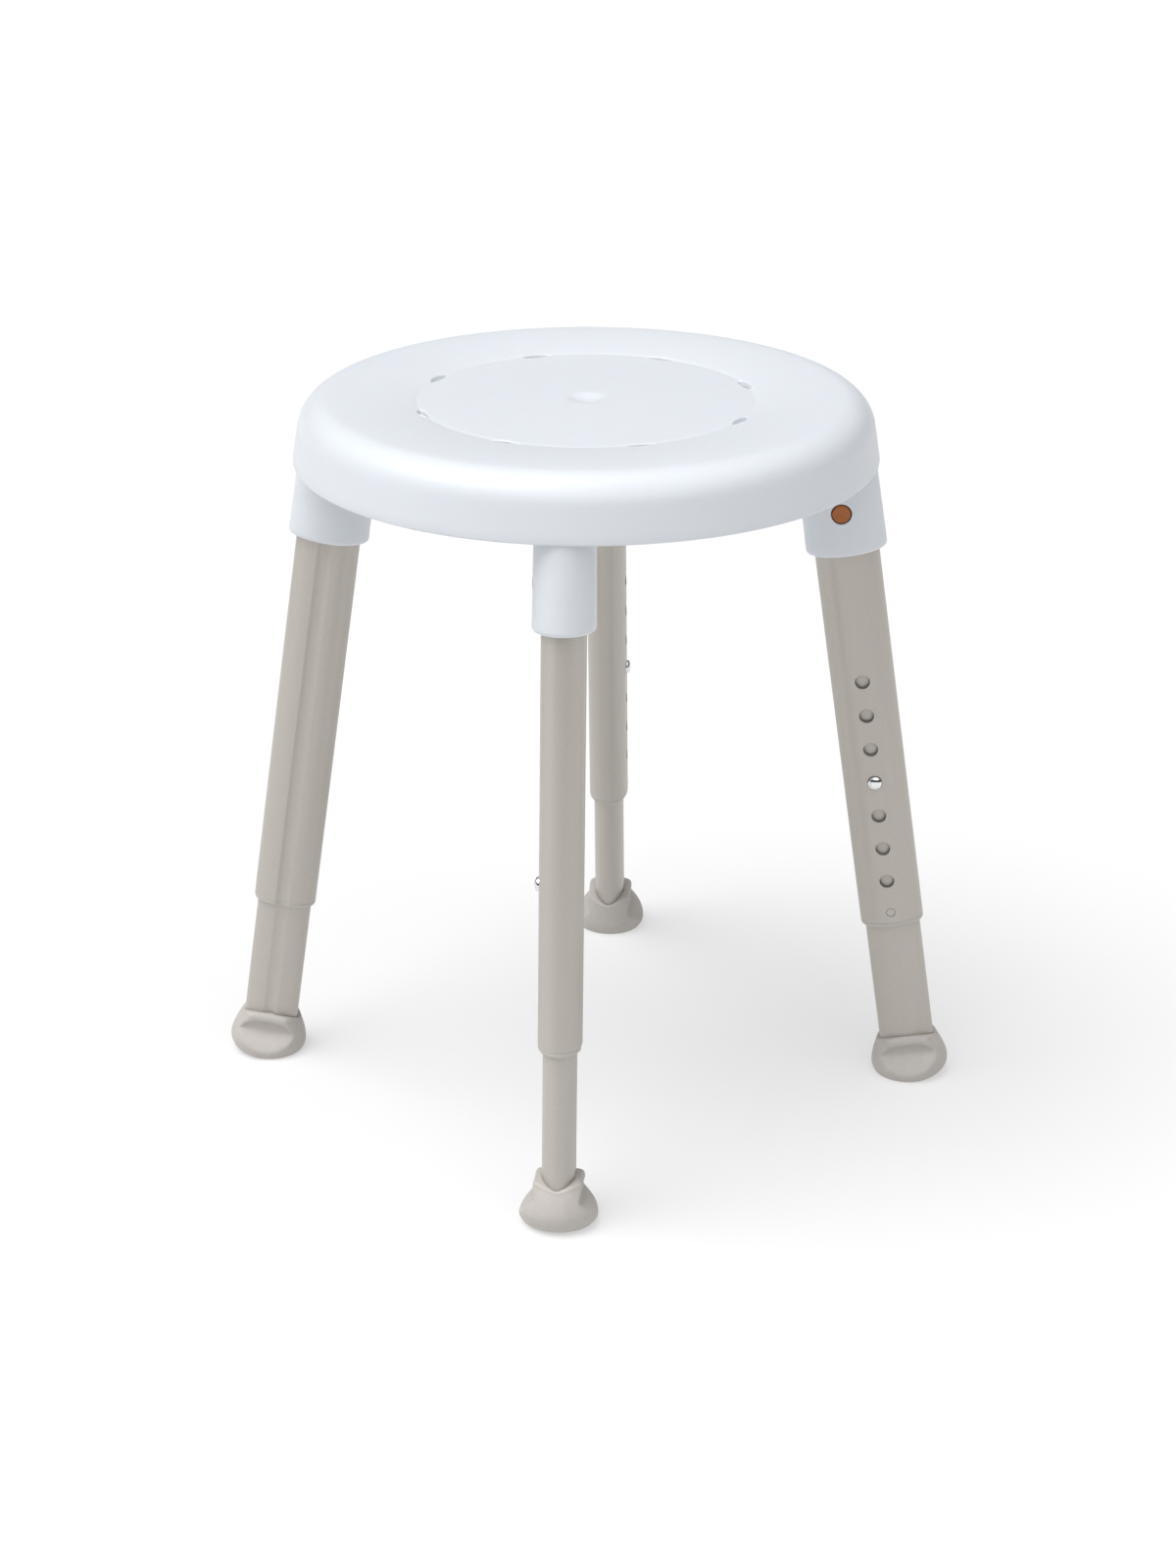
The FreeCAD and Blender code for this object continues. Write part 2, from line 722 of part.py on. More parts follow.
def make_foot(side, place):
    name = f"foot_{side}"
    top = doc.addObject("Part::Cylinder", name + "_top")
    bind(top, Radius="foot_top_round", Height=str(BIG))
    put(top, y=str(BIG / 2), z="foot_top_height - foot_top_round",
        turn=Rotation(Vector(1, 0, 0), 90))
    blank = common(name + "_blank", foot_body(name), top, above_floor(name + "_above_floor"))
    tube_room = channelled_bar(name + "_room", "inner_half_width + fit_gap",
                               "inner_half_depth + fit_gap",
                               "inner_channel_radius - fit_gap",
                               "leg_inner_bottom - fit_gap", "leg_inner_bottom + foot_room")
    keep(cut(name, cut(name + "_shape", blank, foot_scoops(name)), tube_room), name, place)


# ---- assembly --------------------------------------------------------------

def make_leg(side, angle):
    place = leg_frame(angle)
    make_outer_tube(side, place)
    make_tube_bush(side, place)
    make_inner_tube(side, place)
    make_inner_guide(side, place)
    make_height_button(side, place)
    make_height_spring(side, place)
    make_lock_plug(side, place)
    make_lock_button(side, place)
    make_lock_spring(side, place)
    make_foot(side, place)


def check_and_write():
    doc.recompute()
    failed = [thing.Name for thing in doc.Objects
              if {"Invalid", "Error"} & set(thing.State)]
    failed += [thing.Label for thing in subparts
               if thing.Shape.isNull() or not thing.Shape.isValid()]
    if failed:
        raise RuntimeError("failed objects: " + ", ".join(failed))
    os.makedirs("parts", exist_ok=True)
    for thing in subparts:
        thing.Shape.exportStep(f"parts/{thing.Label}.step")
        print(thing.Label, round(thing.Shape.Volume), "mm3,",
              len(thing.Shape.Solids), "solid")


make_seat()
for side, angle in LEGS.items():
    make_leg(side, angle)
check_and_write()
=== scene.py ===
import bmesh
import bpy
import json
import math
from mathutils import Matrix, Vector


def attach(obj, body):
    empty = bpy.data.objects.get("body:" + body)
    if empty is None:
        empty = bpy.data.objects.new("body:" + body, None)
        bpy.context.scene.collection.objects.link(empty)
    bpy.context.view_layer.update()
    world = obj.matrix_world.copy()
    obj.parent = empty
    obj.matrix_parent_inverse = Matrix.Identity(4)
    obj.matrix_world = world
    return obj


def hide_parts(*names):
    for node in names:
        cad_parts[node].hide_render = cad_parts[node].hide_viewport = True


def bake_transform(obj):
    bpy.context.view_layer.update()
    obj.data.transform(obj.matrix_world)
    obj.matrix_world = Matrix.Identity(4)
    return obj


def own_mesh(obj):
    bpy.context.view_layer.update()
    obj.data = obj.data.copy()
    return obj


# Round shower stool: the looks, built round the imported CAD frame.
# Lengths in this script are millimetres in the shape code and become metres
# when a mesh is made. Heights up a leg are measured along the leg's axis from
# the floor, in the leg's own frame: X away from the middle, Y along the seat's
# edge, Z up the leg.

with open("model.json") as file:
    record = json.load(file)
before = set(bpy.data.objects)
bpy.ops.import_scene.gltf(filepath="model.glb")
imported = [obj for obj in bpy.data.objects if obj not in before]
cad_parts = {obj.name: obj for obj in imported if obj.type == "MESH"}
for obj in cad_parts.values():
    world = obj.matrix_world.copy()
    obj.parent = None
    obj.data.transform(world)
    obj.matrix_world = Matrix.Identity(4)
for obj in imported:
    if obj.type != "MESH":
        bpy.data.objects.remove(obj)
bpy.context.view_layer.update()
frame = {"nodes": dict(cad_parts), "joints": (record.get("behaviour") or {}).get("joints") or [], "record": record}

record = frame["record"]
joints = {joint["name"]: joint for joint in frame["joints"]}
mounts = {mount["name"]: mount for mount in record["mounts"]}
SIDES = ("front", "right", "back", "left")
METRE = 0.001


# ---- sizes in millimetres --------------------------------------------------

RIM_HEIGHT = 454.3
CROWN_RADIUS, CROWN_HEIGHT = 171.8, 496.7
VALLEY_RADIUS, VALLEY_HEIGHT = 113.3, 493.0
MIDDLE_HEIGHT = 494.0
EDGE_ROUND = 22.0
SKIRT_DRAFT = math.radians(9)
SEAT_WALL = 3.0
GROOVE_WIDTH, GROOVE_DEPTH = 2.2, 0.32
SLOT_COUNT, SLOT_LENGTH, SLOT_WIDTH = 8, 20.0, 5.2
DIMPLE_RADIUS, DIMPLE_DEPTH = 15.0, 2.2

OUTER_HALF = (22.0, 14.7)
OUTER_WALL = 1.8
INNER_HALF = (19.15, 11.3)
INNER_WALL = 1.6
CHANNEL_AXIS, CHANNEL_RADIUS = 19.2, 7.0
INNER_CHANNEL_RADIUS = 9.4
TUBE_BOTTOM, TUBE_TOP = 121.6, 472.6
INNER_BOTTOM, INNER_TOP = 9.5, 309.6
FIRST_HOLE, HOLE_PITCH, HOLE_COUNT, HOLE_RADIUS = 154.4, 25.0, 7, 5.1
BUTTON_HEIGHT = 229.4
LOCK_HEIGHT, LOCK_HOLE = 427.0, 6.8
PEG_HEIGHT, PEG_RADIUS = 130.2, 3.0
LIP = 3.5

SOCKET_HALF, SOCKET_DRAFT = (27.7, 20.6), 1.4
SOCKET_MOUTH, SOCKET_TOP = 396.4, 500.0


# ---- leg frames ------------------------------------------------------------

def leg_frame(side):
    """The leg's own axes as a matrix, from its joints and its sole."""
    up = -Vector(joints["leg_height_" + side]["axis"]).normalized()
    edge = Vector(joints["height_button_press_" + side]["axis"]).normalized()
    out = edge.cross(up)
    place = Vector(mounts["sole_" + side]["pos_m"])
    turn = Matrix((out, edge, up)).transposed().to_4x4()
    return Matrix.Translation(place) @ turn


LEAN = math.acos(-Vector(joints["leg_height_front"]["axis"]).normalized().z)


# ---- mesh helpers ----------------------------------------------------------

class Shell:
    """Collects points in millimetres and faces, then makes one mesh object."""

    def __init__(self):
        self.points = []
        self.faces = []

    def point(self, place):
        self.points.append(Vector(place) * METRE)
        return len(self.points) - 1

    def ring(self, places):
        return [self.point(place) for place in places]

    def bridge(self, first, second, closed=True):
        """Quads between two rings of equal length."""
        count = len(first)
        for here in range(count if closed else count - 1):
            after = (here + 1) % count
            self.faces.append((first[here], first[after], second[after], second[here]))

    def fan(self, ring, middle, flip=False):
        """Triangles from a ring to one point."""
        tip = self.point(middle)
        for here, start in enumerate(ring):
            end = ring[(here + 1) % len(ring)]
            self.faces.append((end, start, tip) if flip else (start, end, tip))

    def make(self, name, material, sharp_angle=40):
        mesh = bpy.data.meshes.new(name)
        mesh.from_pydata(self.points, [], self.faces)
        build = bmesh.new()
        build.from_mesh(mesh)
        bmesh.ops.remove_doubles(build, verts=build.verts, dist=1e-6)
        bmesh.ops.recalc_face_normals(build, faces=build.faces)
        build.to_mesh(mesh)
        build.free()
        mesh.shade_smooth()
        mesh.set_sharp_from_angle(angle=math.radians(sharp_angle))
        mesh.materials.append(material)
        thing = bpy.data.objects.new(name, mesh)
        bpy.context.scene.collection.objects.link(thing)
        return thing


def between(start, end, steps):
    """Evenly spaced values from start to end, both included."""
    return [start + (end - start) * step / steps for step in range(steps + 1)]


def mix(first, second, share):
    return first + (second - first) * share


def smooth_step(share):
    share = min(max(share, 0.0), 1.0)
    return share * share * (3 - 2 * share)


def shared_mesh(shell, name, material, sharp_angle=40):
    """A mesh without an object, for pieces that repeat on every leg."""
    thing = shell.make(name, material, sharp_angle=sharp_angle)
    mesh = thing.data
    bpy.data.objects.remove(thing)
    return mesh


def add_piece(mesh, name, place, body, slot, *replaced):
    """Stands a mesh in the scene, on a body, for the CAD nodes it replaces."""
    thing = bpy.data.objects.new(name, mesh)
    bpy.context.scene.collection.objects.link(thing)
    thing.matrix_world = place
    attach(thing, body)
    if replaced:
        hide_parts(*replaced)
    return thing


def pierced_wall(shell, column_values, row_values, grid, spot, holes, wall, closed=True):
    """Two layers of quads with holes through both.

    grid(layer, column, row) places the points of the layers, and
    spot(layer, u, v, depth) places points near a hole, where u and v are the
    column and row values. A hole is (first column, last column, first row,
    last row, outline, edge_round), with outline(angle, grow) as (u, v) from the
    middle of its cell. Returns the rings of points at both ends of both layers.
    """
    columns, rows = len(column_values), len(row_values)
    spans = columns if closed else columns - 1
    taken = set()
    hidden = set()
    for left, right, low, high, *_ in holes:
        taken |= {(c, r) for c in range(left, right) for r in range(low, high)}
        hidden |= {(c, r) for c in range(left + 1, right) for r in range(low + 1, high)}
    index = {}
    for layer in (0, 1):
        for column in range(columns):
            for row in range(rows):
                if (column, row) not in hidden:
                    index[layer, column, row] = shell.point(grid(layer, column, row))
        for column in range(spans):
            after = (column + 1) % columns
            for row in range(rows - 1):
                if (column, row) not in taken:
                    shell.faces.append((
                        index[layer, column, row], index[layer, after, row],
                        index[layer, after, row + 1], index[layer, column, row + 1]))
    for hole in holes:
        pierce(shell, index, column_values, row_values, spot, hole, wall)
    ends = {}
    for layer in (0, 1):
        for end, row in (("start", 0), ("end", rows - 1)):
            ends[layer, end] = [index[layer, column, row] for column in range(columns)]
    return ends


def pierce(shell, index, column_values, row_values, spot, hole, wall):
    """Fills one cell of a pierced wall, from its border to a rounded hole."""
    left, right, low, high, outline, edge_round = hole
    border = [(c, low) for c in range(left, right)]
    border += [(right, r) for r in range(low, high)]
    border += [(c, high) for c in range(right, left, -1)]
    border += [(left, r) for r in range(high, low, -1)]
    u_middle = (column_values[left] + column_values[right]) / 2
    v_middle = (row_values[low] + row_values[high]) / 2
    u_half = (column_values[right] - column_values[left]) / 2
    v_half = (row_values[high] - row_values[low]) / 2
    places = [(column_values[c] - u_middle, row_values[r] - v_middle) for c, r in border]
    angles = [math.atan2(v / v_half, u / u_half) for u, v in places]

    def ring(layer, share, grow, depth):
        found = []
        for (u, v), angle in zip(places, angles):
            hole_u, hole_v = outline(angle, grow)
            found.append(shell.point(spot(
                layer, u_middle + mix(hole_u, u, share), v_middle + mix(hole_v, v, share),
                depth)))
        return found

    rings = [[index[0, c, r] for c, r in border]]
    rings += [ring(0, share, edge_round, 0) for share in (0.6, 0.3, 0.1, 0)]
    for step in range(1, 5):
        turn = math.radians(90 * step / 4)
        rings.append(ring(0, 0, edge_round * (1 - math.sin(turn)),
                          edge_round * (1 - math.cos(turn))))
    rings.append(ring(0, 0, 0, mix(edge_round, wall, 0.5)))
    rings += [ring(1, share, 0, 0) for share in (0, 0.1, 0.5)]
    rings.append([index[1, c, r] for c, r in border])
    for first, second in zip(rings, rings[1:]):
        shell.bridge(first, second)


def round_outline(radius):
    def outline(angle, grow):
        return (radius + grow) * math.cos(angle), (radius + grow) * math.sin(angle)
    return outline


def leaf_outline(length, width):
    """A hole with pointed ends along its columns, like a leaf."""
    def outline(angle, grow):
        rise = math.sin(angle)
        across = math.copysign(abs(rise) ** 1.6, rise)
        return (length / 2 + grow) * math.cos(angle), (width / 2 + grow) * across
    return outline


# ---- oval profiles ---------------------------------------------------------

FACE_HALF = 9.0
FACE_STEPS = 12
FLANK_STEPS = 22
CORNER_STEPS = 4
CHANNEL_STEPS = 12
CORNER_REACH = 0.7


def face_depth(half, across):
    """Where the flat side that carries the holes lies, at this distance across."""
    return -half[1] * math.sqrt(1 - (across / half[0]) ** 2)


def channel_edge(half, radius):
    """How far from the middle the round channel cuts the oval, by bisection."""
    near, far = 0.0, min(radius, half[0]) - 1e-6
    for _ in range(60):
        across = (near + far) / 2
        bottom = CHANNEL_AXIS - math.sqrt(radius ** 2 - across ** 2)
        if bottom < -face_depth(half, across):
            near = across
        else:
            far = across
    return near


def oval_profile(half, radius=None):
    """Points round an oval from one end of its hole side, with the channel on
    the far side where radius is given. Every oval has the same number."""
    points = [(x, face_depth(half, x)) for x in between(-FACE_HALF, FACE_HALF, FACE_STEPS)]
    start = math.asin(FACE_HALF / half[0])
    if radius is None:
        steps = 2 * FLANK_STEPS + 2 * CORNER_STEPS + CHANNEL_STEPS
        for angle in between(start, 2 * math.pi - start, steps)[1:-1]:
            points.append((half[0] * math.sin(angle), -half[1] * math.cos(angle)))
        return points
    edge = channel_edge(half, radius)
    stop = math.pi - math.asin((edge + CORNER_REACH) / half[0])
    flank = [(half[0] * math.sin(a), -half[1] * math.cos(a))
             for a in between(start, stop, FLANK_STEPS)]
    tip = (edge, -face_depth(half, edge))
    in_channel = edge - CORNER_REACH * 0.8
    sweep = math.asin(in_channel / radius)
    channel = [(radius * math.sin(a), CHANNEL_AXIS - radius * math.cos(a))
               for a in between(sweep, -sweep, CHANNEL_STEPS)]
    corner = [bezier(flank[-1], tip, channel[0], share)
              for share in between(0, 1, CORNER_STEPS)]
    half_way = flank[1:] + corner[1:-1] + channel
    mirrored = [(-x, y) for x, y in reversed(flank[1:] + corner[1:-1])]
    return points + half_way + mirrored


def bezier(start, pull, end, share):
    first = (1 - share) ** 2
    second = 2 * share * (1 - share)
    third = share ** 2
    return (first * start[0] + second * pull[0] + third * end[0],
            first * start[1] + second * pull[1] + third * end[1])


def inset(profile, amount):
    """The closed profile moved inwards along its own normals."""
    moved = []
    for here, (x, y) in enumerate(profile):
        before, after = profile[here - 1], profile[(here + 1) % len(profile)]
        run = Vector((after[0] - before[0], after[1] - before[1])).normalized()
        moved.append((x - run.y * amount, y + run.x * amount))
    return moved


def at_height(profile, height):
    return [(x, y, height) for x, y in profile]


def pierced_tube(half, wall, radius, bottom, top, holes):
    """An oval tube with a channel down one side and round holes in the other.
    holes is a list of (height, radius, half the height of its cell)."""
    shell = Shell()
    bevel = 0.25
    inner_half = (half[0] - wall, half[1] - wall)
    profiles = (oval_profile(half, radius), oval_profile(inner_half, radius + wall))
    column_values = [x for x, _ in profiles[0]]
    rows = [bottom + bevel]
    cells = []
    for height, hole_radius, cell in sorted(holes):
        if height - cell > rows[-1] + 0.01:
            rows.append(height - cell)
        low = len(rows) - 1
        rows += between(height - cell, height + cell, FACE_STEPS)[1:]
        cells.append((0, FACE_STEPS, low, len(rows) - 1, round_outline(hole_radius), bevel))
    rows.append(top - bevel)

    def grid(layer, column, row):
        x, y = profiles[layer][column]
        return x, y, rows[row]

    def spot(layer, u, v, depth):
        return u, face_depth((half, inner_half)[layer], u) + depth, v

    ends = pierced_wall(shell, column_values, rows, grid, spot, cells, wall)
    for end, height in (("start", bottom), ("end", top)):
        outer_lip = shell.ring(at_height(inset(profiles[0], bevel), height))
        inner_lip = shell.ring(at_height(inset(profiles[1], -bevel), height))
        rings = [ends[0, end], outer_lip, inner_lip, ends[1, end]]
        for first, second in zip(rings, rings[1:]):
            shell.bridge(first, second)
    return shell


# ---- seat ------------------------------------------------------------------

SLOT_CELL = (13.0, 6.0)
SLOT_STEPS = (14, 8)
SPAN_STEPS = 24
SLOT_ROUND = 1.3
TURN_CENTRE = CROWN_HEIGHT - EDGE_ROUND
RIM_ROUND, RIM_INSIDE_ROUND = 1.7, 0.9


def dish_height(reach):
    """Height of the deck's top at this distance from the middle."""
    if reach < VALLEY_RADIUS:
        rise = (MIDDLE_HEIGHT - VALLEY_HEIGHT) * (1 - (reach / VALLEY_RADIUS) ** 2)
    else:
        share = (reach - VALLEY_RADIUS) / (CROWN_RADIUS - VALLEY_RADIUS)
        rise = (CROWN_HEIGHT - VALLEY_HEIGHT) * (1 - (1 - share) ** 2)
    groove = GROOVE_DEPTH * math.exp(-((reach - VALLEY_RADIUS) / GROOVE_WIDTH) ** 2)
    share = min(reach / DIMPLE_RADIUS, 1)
    dimple = DIMPLE_DEPTH * (1 - share ** 2) ** 2
    return VALLEY_HEIGHT + rise - groove - dimple


def seat_path(outside):
    """(reach, height) points from the middle of the deck to the skirt's edge,
    in step for the top and for the underside of the wall."""
    drop = 0 if outside else SEAT_WALL
    bend = EDGE_ROUND - drop
    path = [(reach, dish_height(reach) - drop) for reach in DISH_REACHES]
    for angle in between(0, math.pi / 2 - SKIRT_DRAFT, 14)[1:]:
        path.append((CROWN_RADIUS + bend * math.sin(angle),
                     TURN_CENTRE + bend * math.cos(angle)))
    reach, height = path[-1]
    foot = RIM_HEIGHT + (RIM_ROUND if outside else RIM_INSIDE_ROUND)
    for share in between(0, 1, 4)[1:]:
        fall = (height - foot) * share
        path.append((reach + fall * math.tan(SKIRT_DRAFT), height - fall))
    return path


def dish_reaches():
    """Distances from the middle, closer where the deck curves more."""
    inner, outer = VALLEY_RADIUS - SLOT_CELL[1], VALLEY_RADIUS + SLOT_CELL[1]
    reaches = between(1.5, DIMPLE_RADIUS + 4, 11)
    reaches += between(DIMPLE_RADIUS + 4, inner, 8)[1:]
    reaches += between(inner, outer, SLOT_STEPS[1])[1:]
    reaches += between(outer, CROWN_RADIUS, 8)[1:]
    return reaches


DISH_REACHES = dish_reaches()


def seat_columns():
    """Places round the seat as millimetres of arc at the ring of slots, and the
    first column of every slot's cell."""
    pitch = 2 * math.pi * VALLEY_RADIUS / SLOT_COUNT
    columns, cells = [], []
    for slot in range(SLOT_COUNT):
        middle = (slot + 0.5) * pitch
        cells.append(len(columns))
        columns += between(middle - SLOT_CELL[0], middle + SLOT_CELL[0], SLOT_STEPS[0])
        start = middle + SLOT_CELL[0]
        columns += between(start, middle - SLOT_CELL[0] + pitch, SPAN_STEPS)[1:-1]
    return columns, cells


def polar(arc, reach, height):
    angle = arc / VALLEY_RADIUS
    return reach * math.cos(angle), reach * math.sin(angle), height


def make_seat_deck(material):
    shell = Shell()
    columns, cells = seat_columns()
    paths = (seat_path(True), seat_path(False))
    low = DISH_REACHES.index(VALLEY_RADIUS - SLOT_CELL[1])
    holes = [(first, first + SLOT_STEPS[0], low, low + SLOT_STEPS[1],
              leaf_outline(SLOT_LENGTH, SLOT_WIDTH), SLOT_ROUND) for first in cells]

    def grid(layer, column, row):
        return polar(columns[column], *paths[layer][row])

    def spot(layer, u, v, depth):
        drop = depth + (SEAT_WALL if layer else 0)
        return polar(u, v, dish_height(v) - drop)

    rows = [reach for reach, _ in paths[0]]
    ends = pierced_wall(shell, columns, rows, grid, spot, holes, SEAT_WALL)
    shell.fan(ends[0, "start"], (0, 0, dish_height(0)))
    shell.fan(ends[1, "start"], (0, 0, dish_height(0) - SEAT_WALL))
    close_rim(shell, columns, ends, paths)
    return shell.make("seat_deck", material)


def close_rim(shell, columns, ends, paths):
    """The rounded lower edge of the skirt."""
    outside, inside = paths[0][-1][0], paths[1][-1][0]
    rings = [ends[0, "end"]]
    for angle in between(0, math.pi / 2, 4)[1:]:
        reach = outside - RIM_ROUND * (1 - math.cos(angle))
        height = RIM_HEIGHT + RIM_ROUND * (1 - math.sin(angle))
        rings.append(shell.ring([polar(arc, reach, height) for arc in columns]))
    for angle in between(0, math.pi / 2, 3)[:-1]:
        reach = inside + RIM_INSIDE_ROUND * (1 - math.sin(angle))
        height = RIM_HEIGHT + RIM_INSIDE_ROUND * (1 - math.cos(angle))
        rings.append(shell.ring([polar(arc, reach, height) for arc in columns]))
    rings.append(ends[1, "end"])
    for first, second in zip(rings, rings[1:]):
        shell.bridge(first, second)


def wall_middle_reach(height):
    """Distance from the middle to the heart of the skirt's wall at this height."""
    bend = EDGE_ROUND - SEAT_WALL / 2
    turn_end = TURN_CENTRE + bend * math.sin(SKIRT_DRAFT)
    if height < turn_end:
        start = CROWN_RADIUS + bend * math.cos(SKIRT_DRAFT)
        return start + (turn_end - height) * math.tan(SKIRT_DRAFT)
    rise = min(height - TURN_CENTRE, bend)
    return CROWN_RADIUS + math.sqrt(bend ** 2 - rise ** 2)


def is_in_deck(place):
    """True for a point that has reached the heart of the seat's wall."""
    reach = math.hypot(place.x, place.y)
    if reach < CROWN_RADIUS:
        return place.z > dish_height(reach) - SEAT_WALL / 2
    return place.z > RIM_HEIGHT + 2 and reach > wall_middle_reach(place.z)


def rise_to_deck(place, x, y, low, high):
    """How far up the leg a line at (x, y) may run before it leaves the deck."""
    turned = Matrix.Translation(place.translation / METRE) @ place.to_3x3().to_4x4()
    if not is_in_deck(turned @ Vector((x, y, high))):
        return high
    for _ in range(30):
        middle = (low + high) / 2
        if is_in_deck(turned @ Vector((x, y, middle))):
            high = middle
        else:
            low = middle
    return low


SOCKET_BORE = (22.1, 14.8)
SOCKET_ROUND = 3.2
SOCKET_STRAIGHT = 446.0
BORE_TOP = 472.7


def socket_half(height):
    share = (height - SOCKET_MOUTH) / (SOCKET_TOP - SOCKET_MOUTH)
    return SOCKET_HALF[0] - SOCKET_DRAFT * share, SOCKET_HALF[1] - SOCKET_DRAFT * share


def make_socket(material):
    """The oval boss that a leg plugs into, with a hole for its lock button."""
    shell = Shell()
    bore = oval_profile(SOCKET_BORE)
    columns = [x for x, _ in bore]
    low = LOCK_HEIGHT - FACE_HALF
    rows = between(SOCKET_MOUTH + SOCKET_ROUND, low, 4)
    rows += between(low, LOCK_HEIGHT + FACE_HALF, FACE_STEPS)[1:]
    rows.append(SOCKET_STRAIGHT)
    hole = (0, FACE_STEPS, 4, 4 + FACE_STEPS, round_outline(LOCK_HOLE + 0.2), 0.5)
    outside = [oval_profile(socket_half(height)) for height in rows]

    def grid(layer, column, row):
        x, y = bore[column] if layer else outside[row][column]
        return x, y, rows[row]

    def spot(layer, u, v, depth):
        half = SOCKET_BORE if layer else socket_half(v)
        return u, face_depth(half, u) + depth, v

    wall = SOCKET_HALF[1] - SOCKET_BORE[1]
    ends = pierced_wall(shell, columns, rows, grid, spot, [hole], wall)
    lip = oval_profile(socket_half(SOCKET_MOUTH))
    rings = [ends[0, "start"]]
    for angle in between(0, math.pi / 2, 5)[1:]:
        height = SOCKET_MOUTH + SOCKET_ROUND * (1 - math.sin(angle))
        rings.append(shell.ring(at_height(
            inset(lip, SOCKET_ROUND * (1 - math.cos(angle))), height)))
    rings.append(shell.ring(at_height(inset(bore, -0.6), SOCKET_MOUTH)))
    rings.append(shell.ring(at_height(bore, SOCKET_MOUTH + 0.6)))
    rings.append(ends[1, "start"])
    for first, second in zip(rings, rings[1:]):
        shell.bridge(first, second)
    place = leg_frame("front")
    rings = [ends[0, "end"]]
    for share in between(0, 1, 4)[1:]:
        ring = []
        for x, y in outside[-1]:
            top = rise_to_deck(place, x, y, SOCKET_STRAIGHT, SOCKET_TOP)
            ring.append((x, y, mix(SOCKET_STRAIGHT, top, share)))
        rings.append(shell.ring(ring))
    for first, second in zip(rings, rings[1:]):
        shell.bridge(first, second)
    middle = rise_to_deck(place, 0, 0, SOCKET_STRAIGHT, SOCKET_TOP)
    shell.fan(rings[-1], (0, 0, middle))
    cap = shell.ring(at_height(bore, BORE_TOP))
    shell.bridge(ends[1, "end"], cap)
    shell.fan(cap, (0, 0, BORE_TOP))
    return shared_mesh(shell, "seat_socket", material)


RIB_WALL, RIB_BOTTOM = 2.5, 483.5
RIB_RING, RIB_HUB = 138.0, 24.0
RIB_LINES, RIB_ARC_STEPS = 8, 12
RIB_REACHES = (60.0, 100.0)
RIB_END_REACHES, RIB_END_HEIGHT = (160.0, CROWN_RADIUS, 190.0), TURN_CENTRE + 5


def make_ribs(material):
    """Eight ribs, a ring and a hub as one open grid, closed all round."""
    shell = Shell()
    half = RIB_WALL / 2
    pitch = 2 * math.pi / RIB_LINES
    reaches = [half / math.sin(pitch / 2), RIB_HUB - RIB_WALL, RIB_HUB, *RIB_REACHES,
               RIB_RING - RIB_WALL, RIB_RING, *RIB_END_REACHES]
    rings = (reaches.index(RIB_HUB - RIB_WALL), reaches.index(RIB_RING - RIB_WALL))
    arc_steps = RIB_ARC_STEPS

    def column_angles(reach):
        angles = []
        for line in range(RIB_LINES):
            edge = math.asin(half / reach)
            start = line * pitch
            angles.append(start - edge)
            angles += between(start + edge, start + pitch - edge, arc_steps)[:-1]
        return angles

    columns = RIB_LINES * (arc_steps + 1)
    solid = set()
    for row in range(len(reaches) - 1):
        for column in range(columns):
            if column % (arc_steps + 1) == 0 or row in rings:
                solid.add((column, row))
    index = {}

    def corner(column, row, level):
        column %= columns
        key = (column, row, level)
        if key not in index:
            reach = reaches[row]
            angle = column_angles(reach)[column]
            if level:
                height = RIB_BOTTOM
            elif reach <= CROWN_RADIUS:
                height = dish_height(reach) - SEAT_WALL * 0.8
            else:
                height = RIB_END_HEIGHT
            place = reach * math.cos(angle), reach * math.sin(angle), height
            index[key] = shell.point(place)
        return index[key]

    for level in (0, 1):
        shell.faces.append(tuple(corner(line * (arc_steps + 1), 0, level)
                                 for line in range(RIB_LINES)))
    for column, row in sorted(solid):
        for level in (0, 1):
            around = ((column, row), (column + 1, row),
                      (column + 1, row + 1), (column, row + 1))
            shell.faces.append(tuple(corner(*spot, level) for spot in around))
        walls = {((column - 1) % columns, row): ((column, row), (column, row + 1)),
                 ((column + 1) % columns, row): ((column + 1, row), (column + 1, row + 1)),
                 (column, row - 1): ((column, row), (column + 1, row)),
                 (column, row + 1): ((column, row + 1), (column + 1, row + 1))}
        for beside, (first, second) in walls.items():
            if beside in solid or beside[1] < 0:
                continue
            shell.faces.append((corner(*first, 0), corner(*second, 0),
                                corner(*second, 1), corner(*first, 1)))
    return shell.make("seat_ribs", material, sharp_angle=30)


# ---- legs ------------------------------------------------------------------

HOLE_CELL = 9.0
PEG_CELL = 6.0
SLEEVE_LENGTH, SLEEVE_GAP = 21.0, 0.1
SLIDE_GAP = 0.3
LIP_STRAIGHT, LIP_SHARE, LIP_STEPS, LIP_INSET = 0.4, 0.86, 7, 0.15
PEG_GAP, PEG_DEPTH, PEG_SIDES, KNOB_SIDES = 0.18, 2.2, 32, 48


def make_outer_tube(material):
    holes = [(FIRST_HOLE + step * HOLE_PITCH, HOLE_RADIUS, HOLE_CELL)
             for step in range(HOLE_COUNT)]
    holes.append((PEG_HEIGHT, PEG_RADIUS + PEG_GAP, PEG_CELL))
    holes.append((LOCK_HEIGHT, LOCK_HOLE, HOLE_CELL))
    shell = pierced_tube(OUTER_HALF, OUTER_WALL, CHANNEL_RADIUS,
                         TUBE_BOTTOM, TUBE_TOP, holes)
    return shared_mesh(shell, "outer_tube", material)


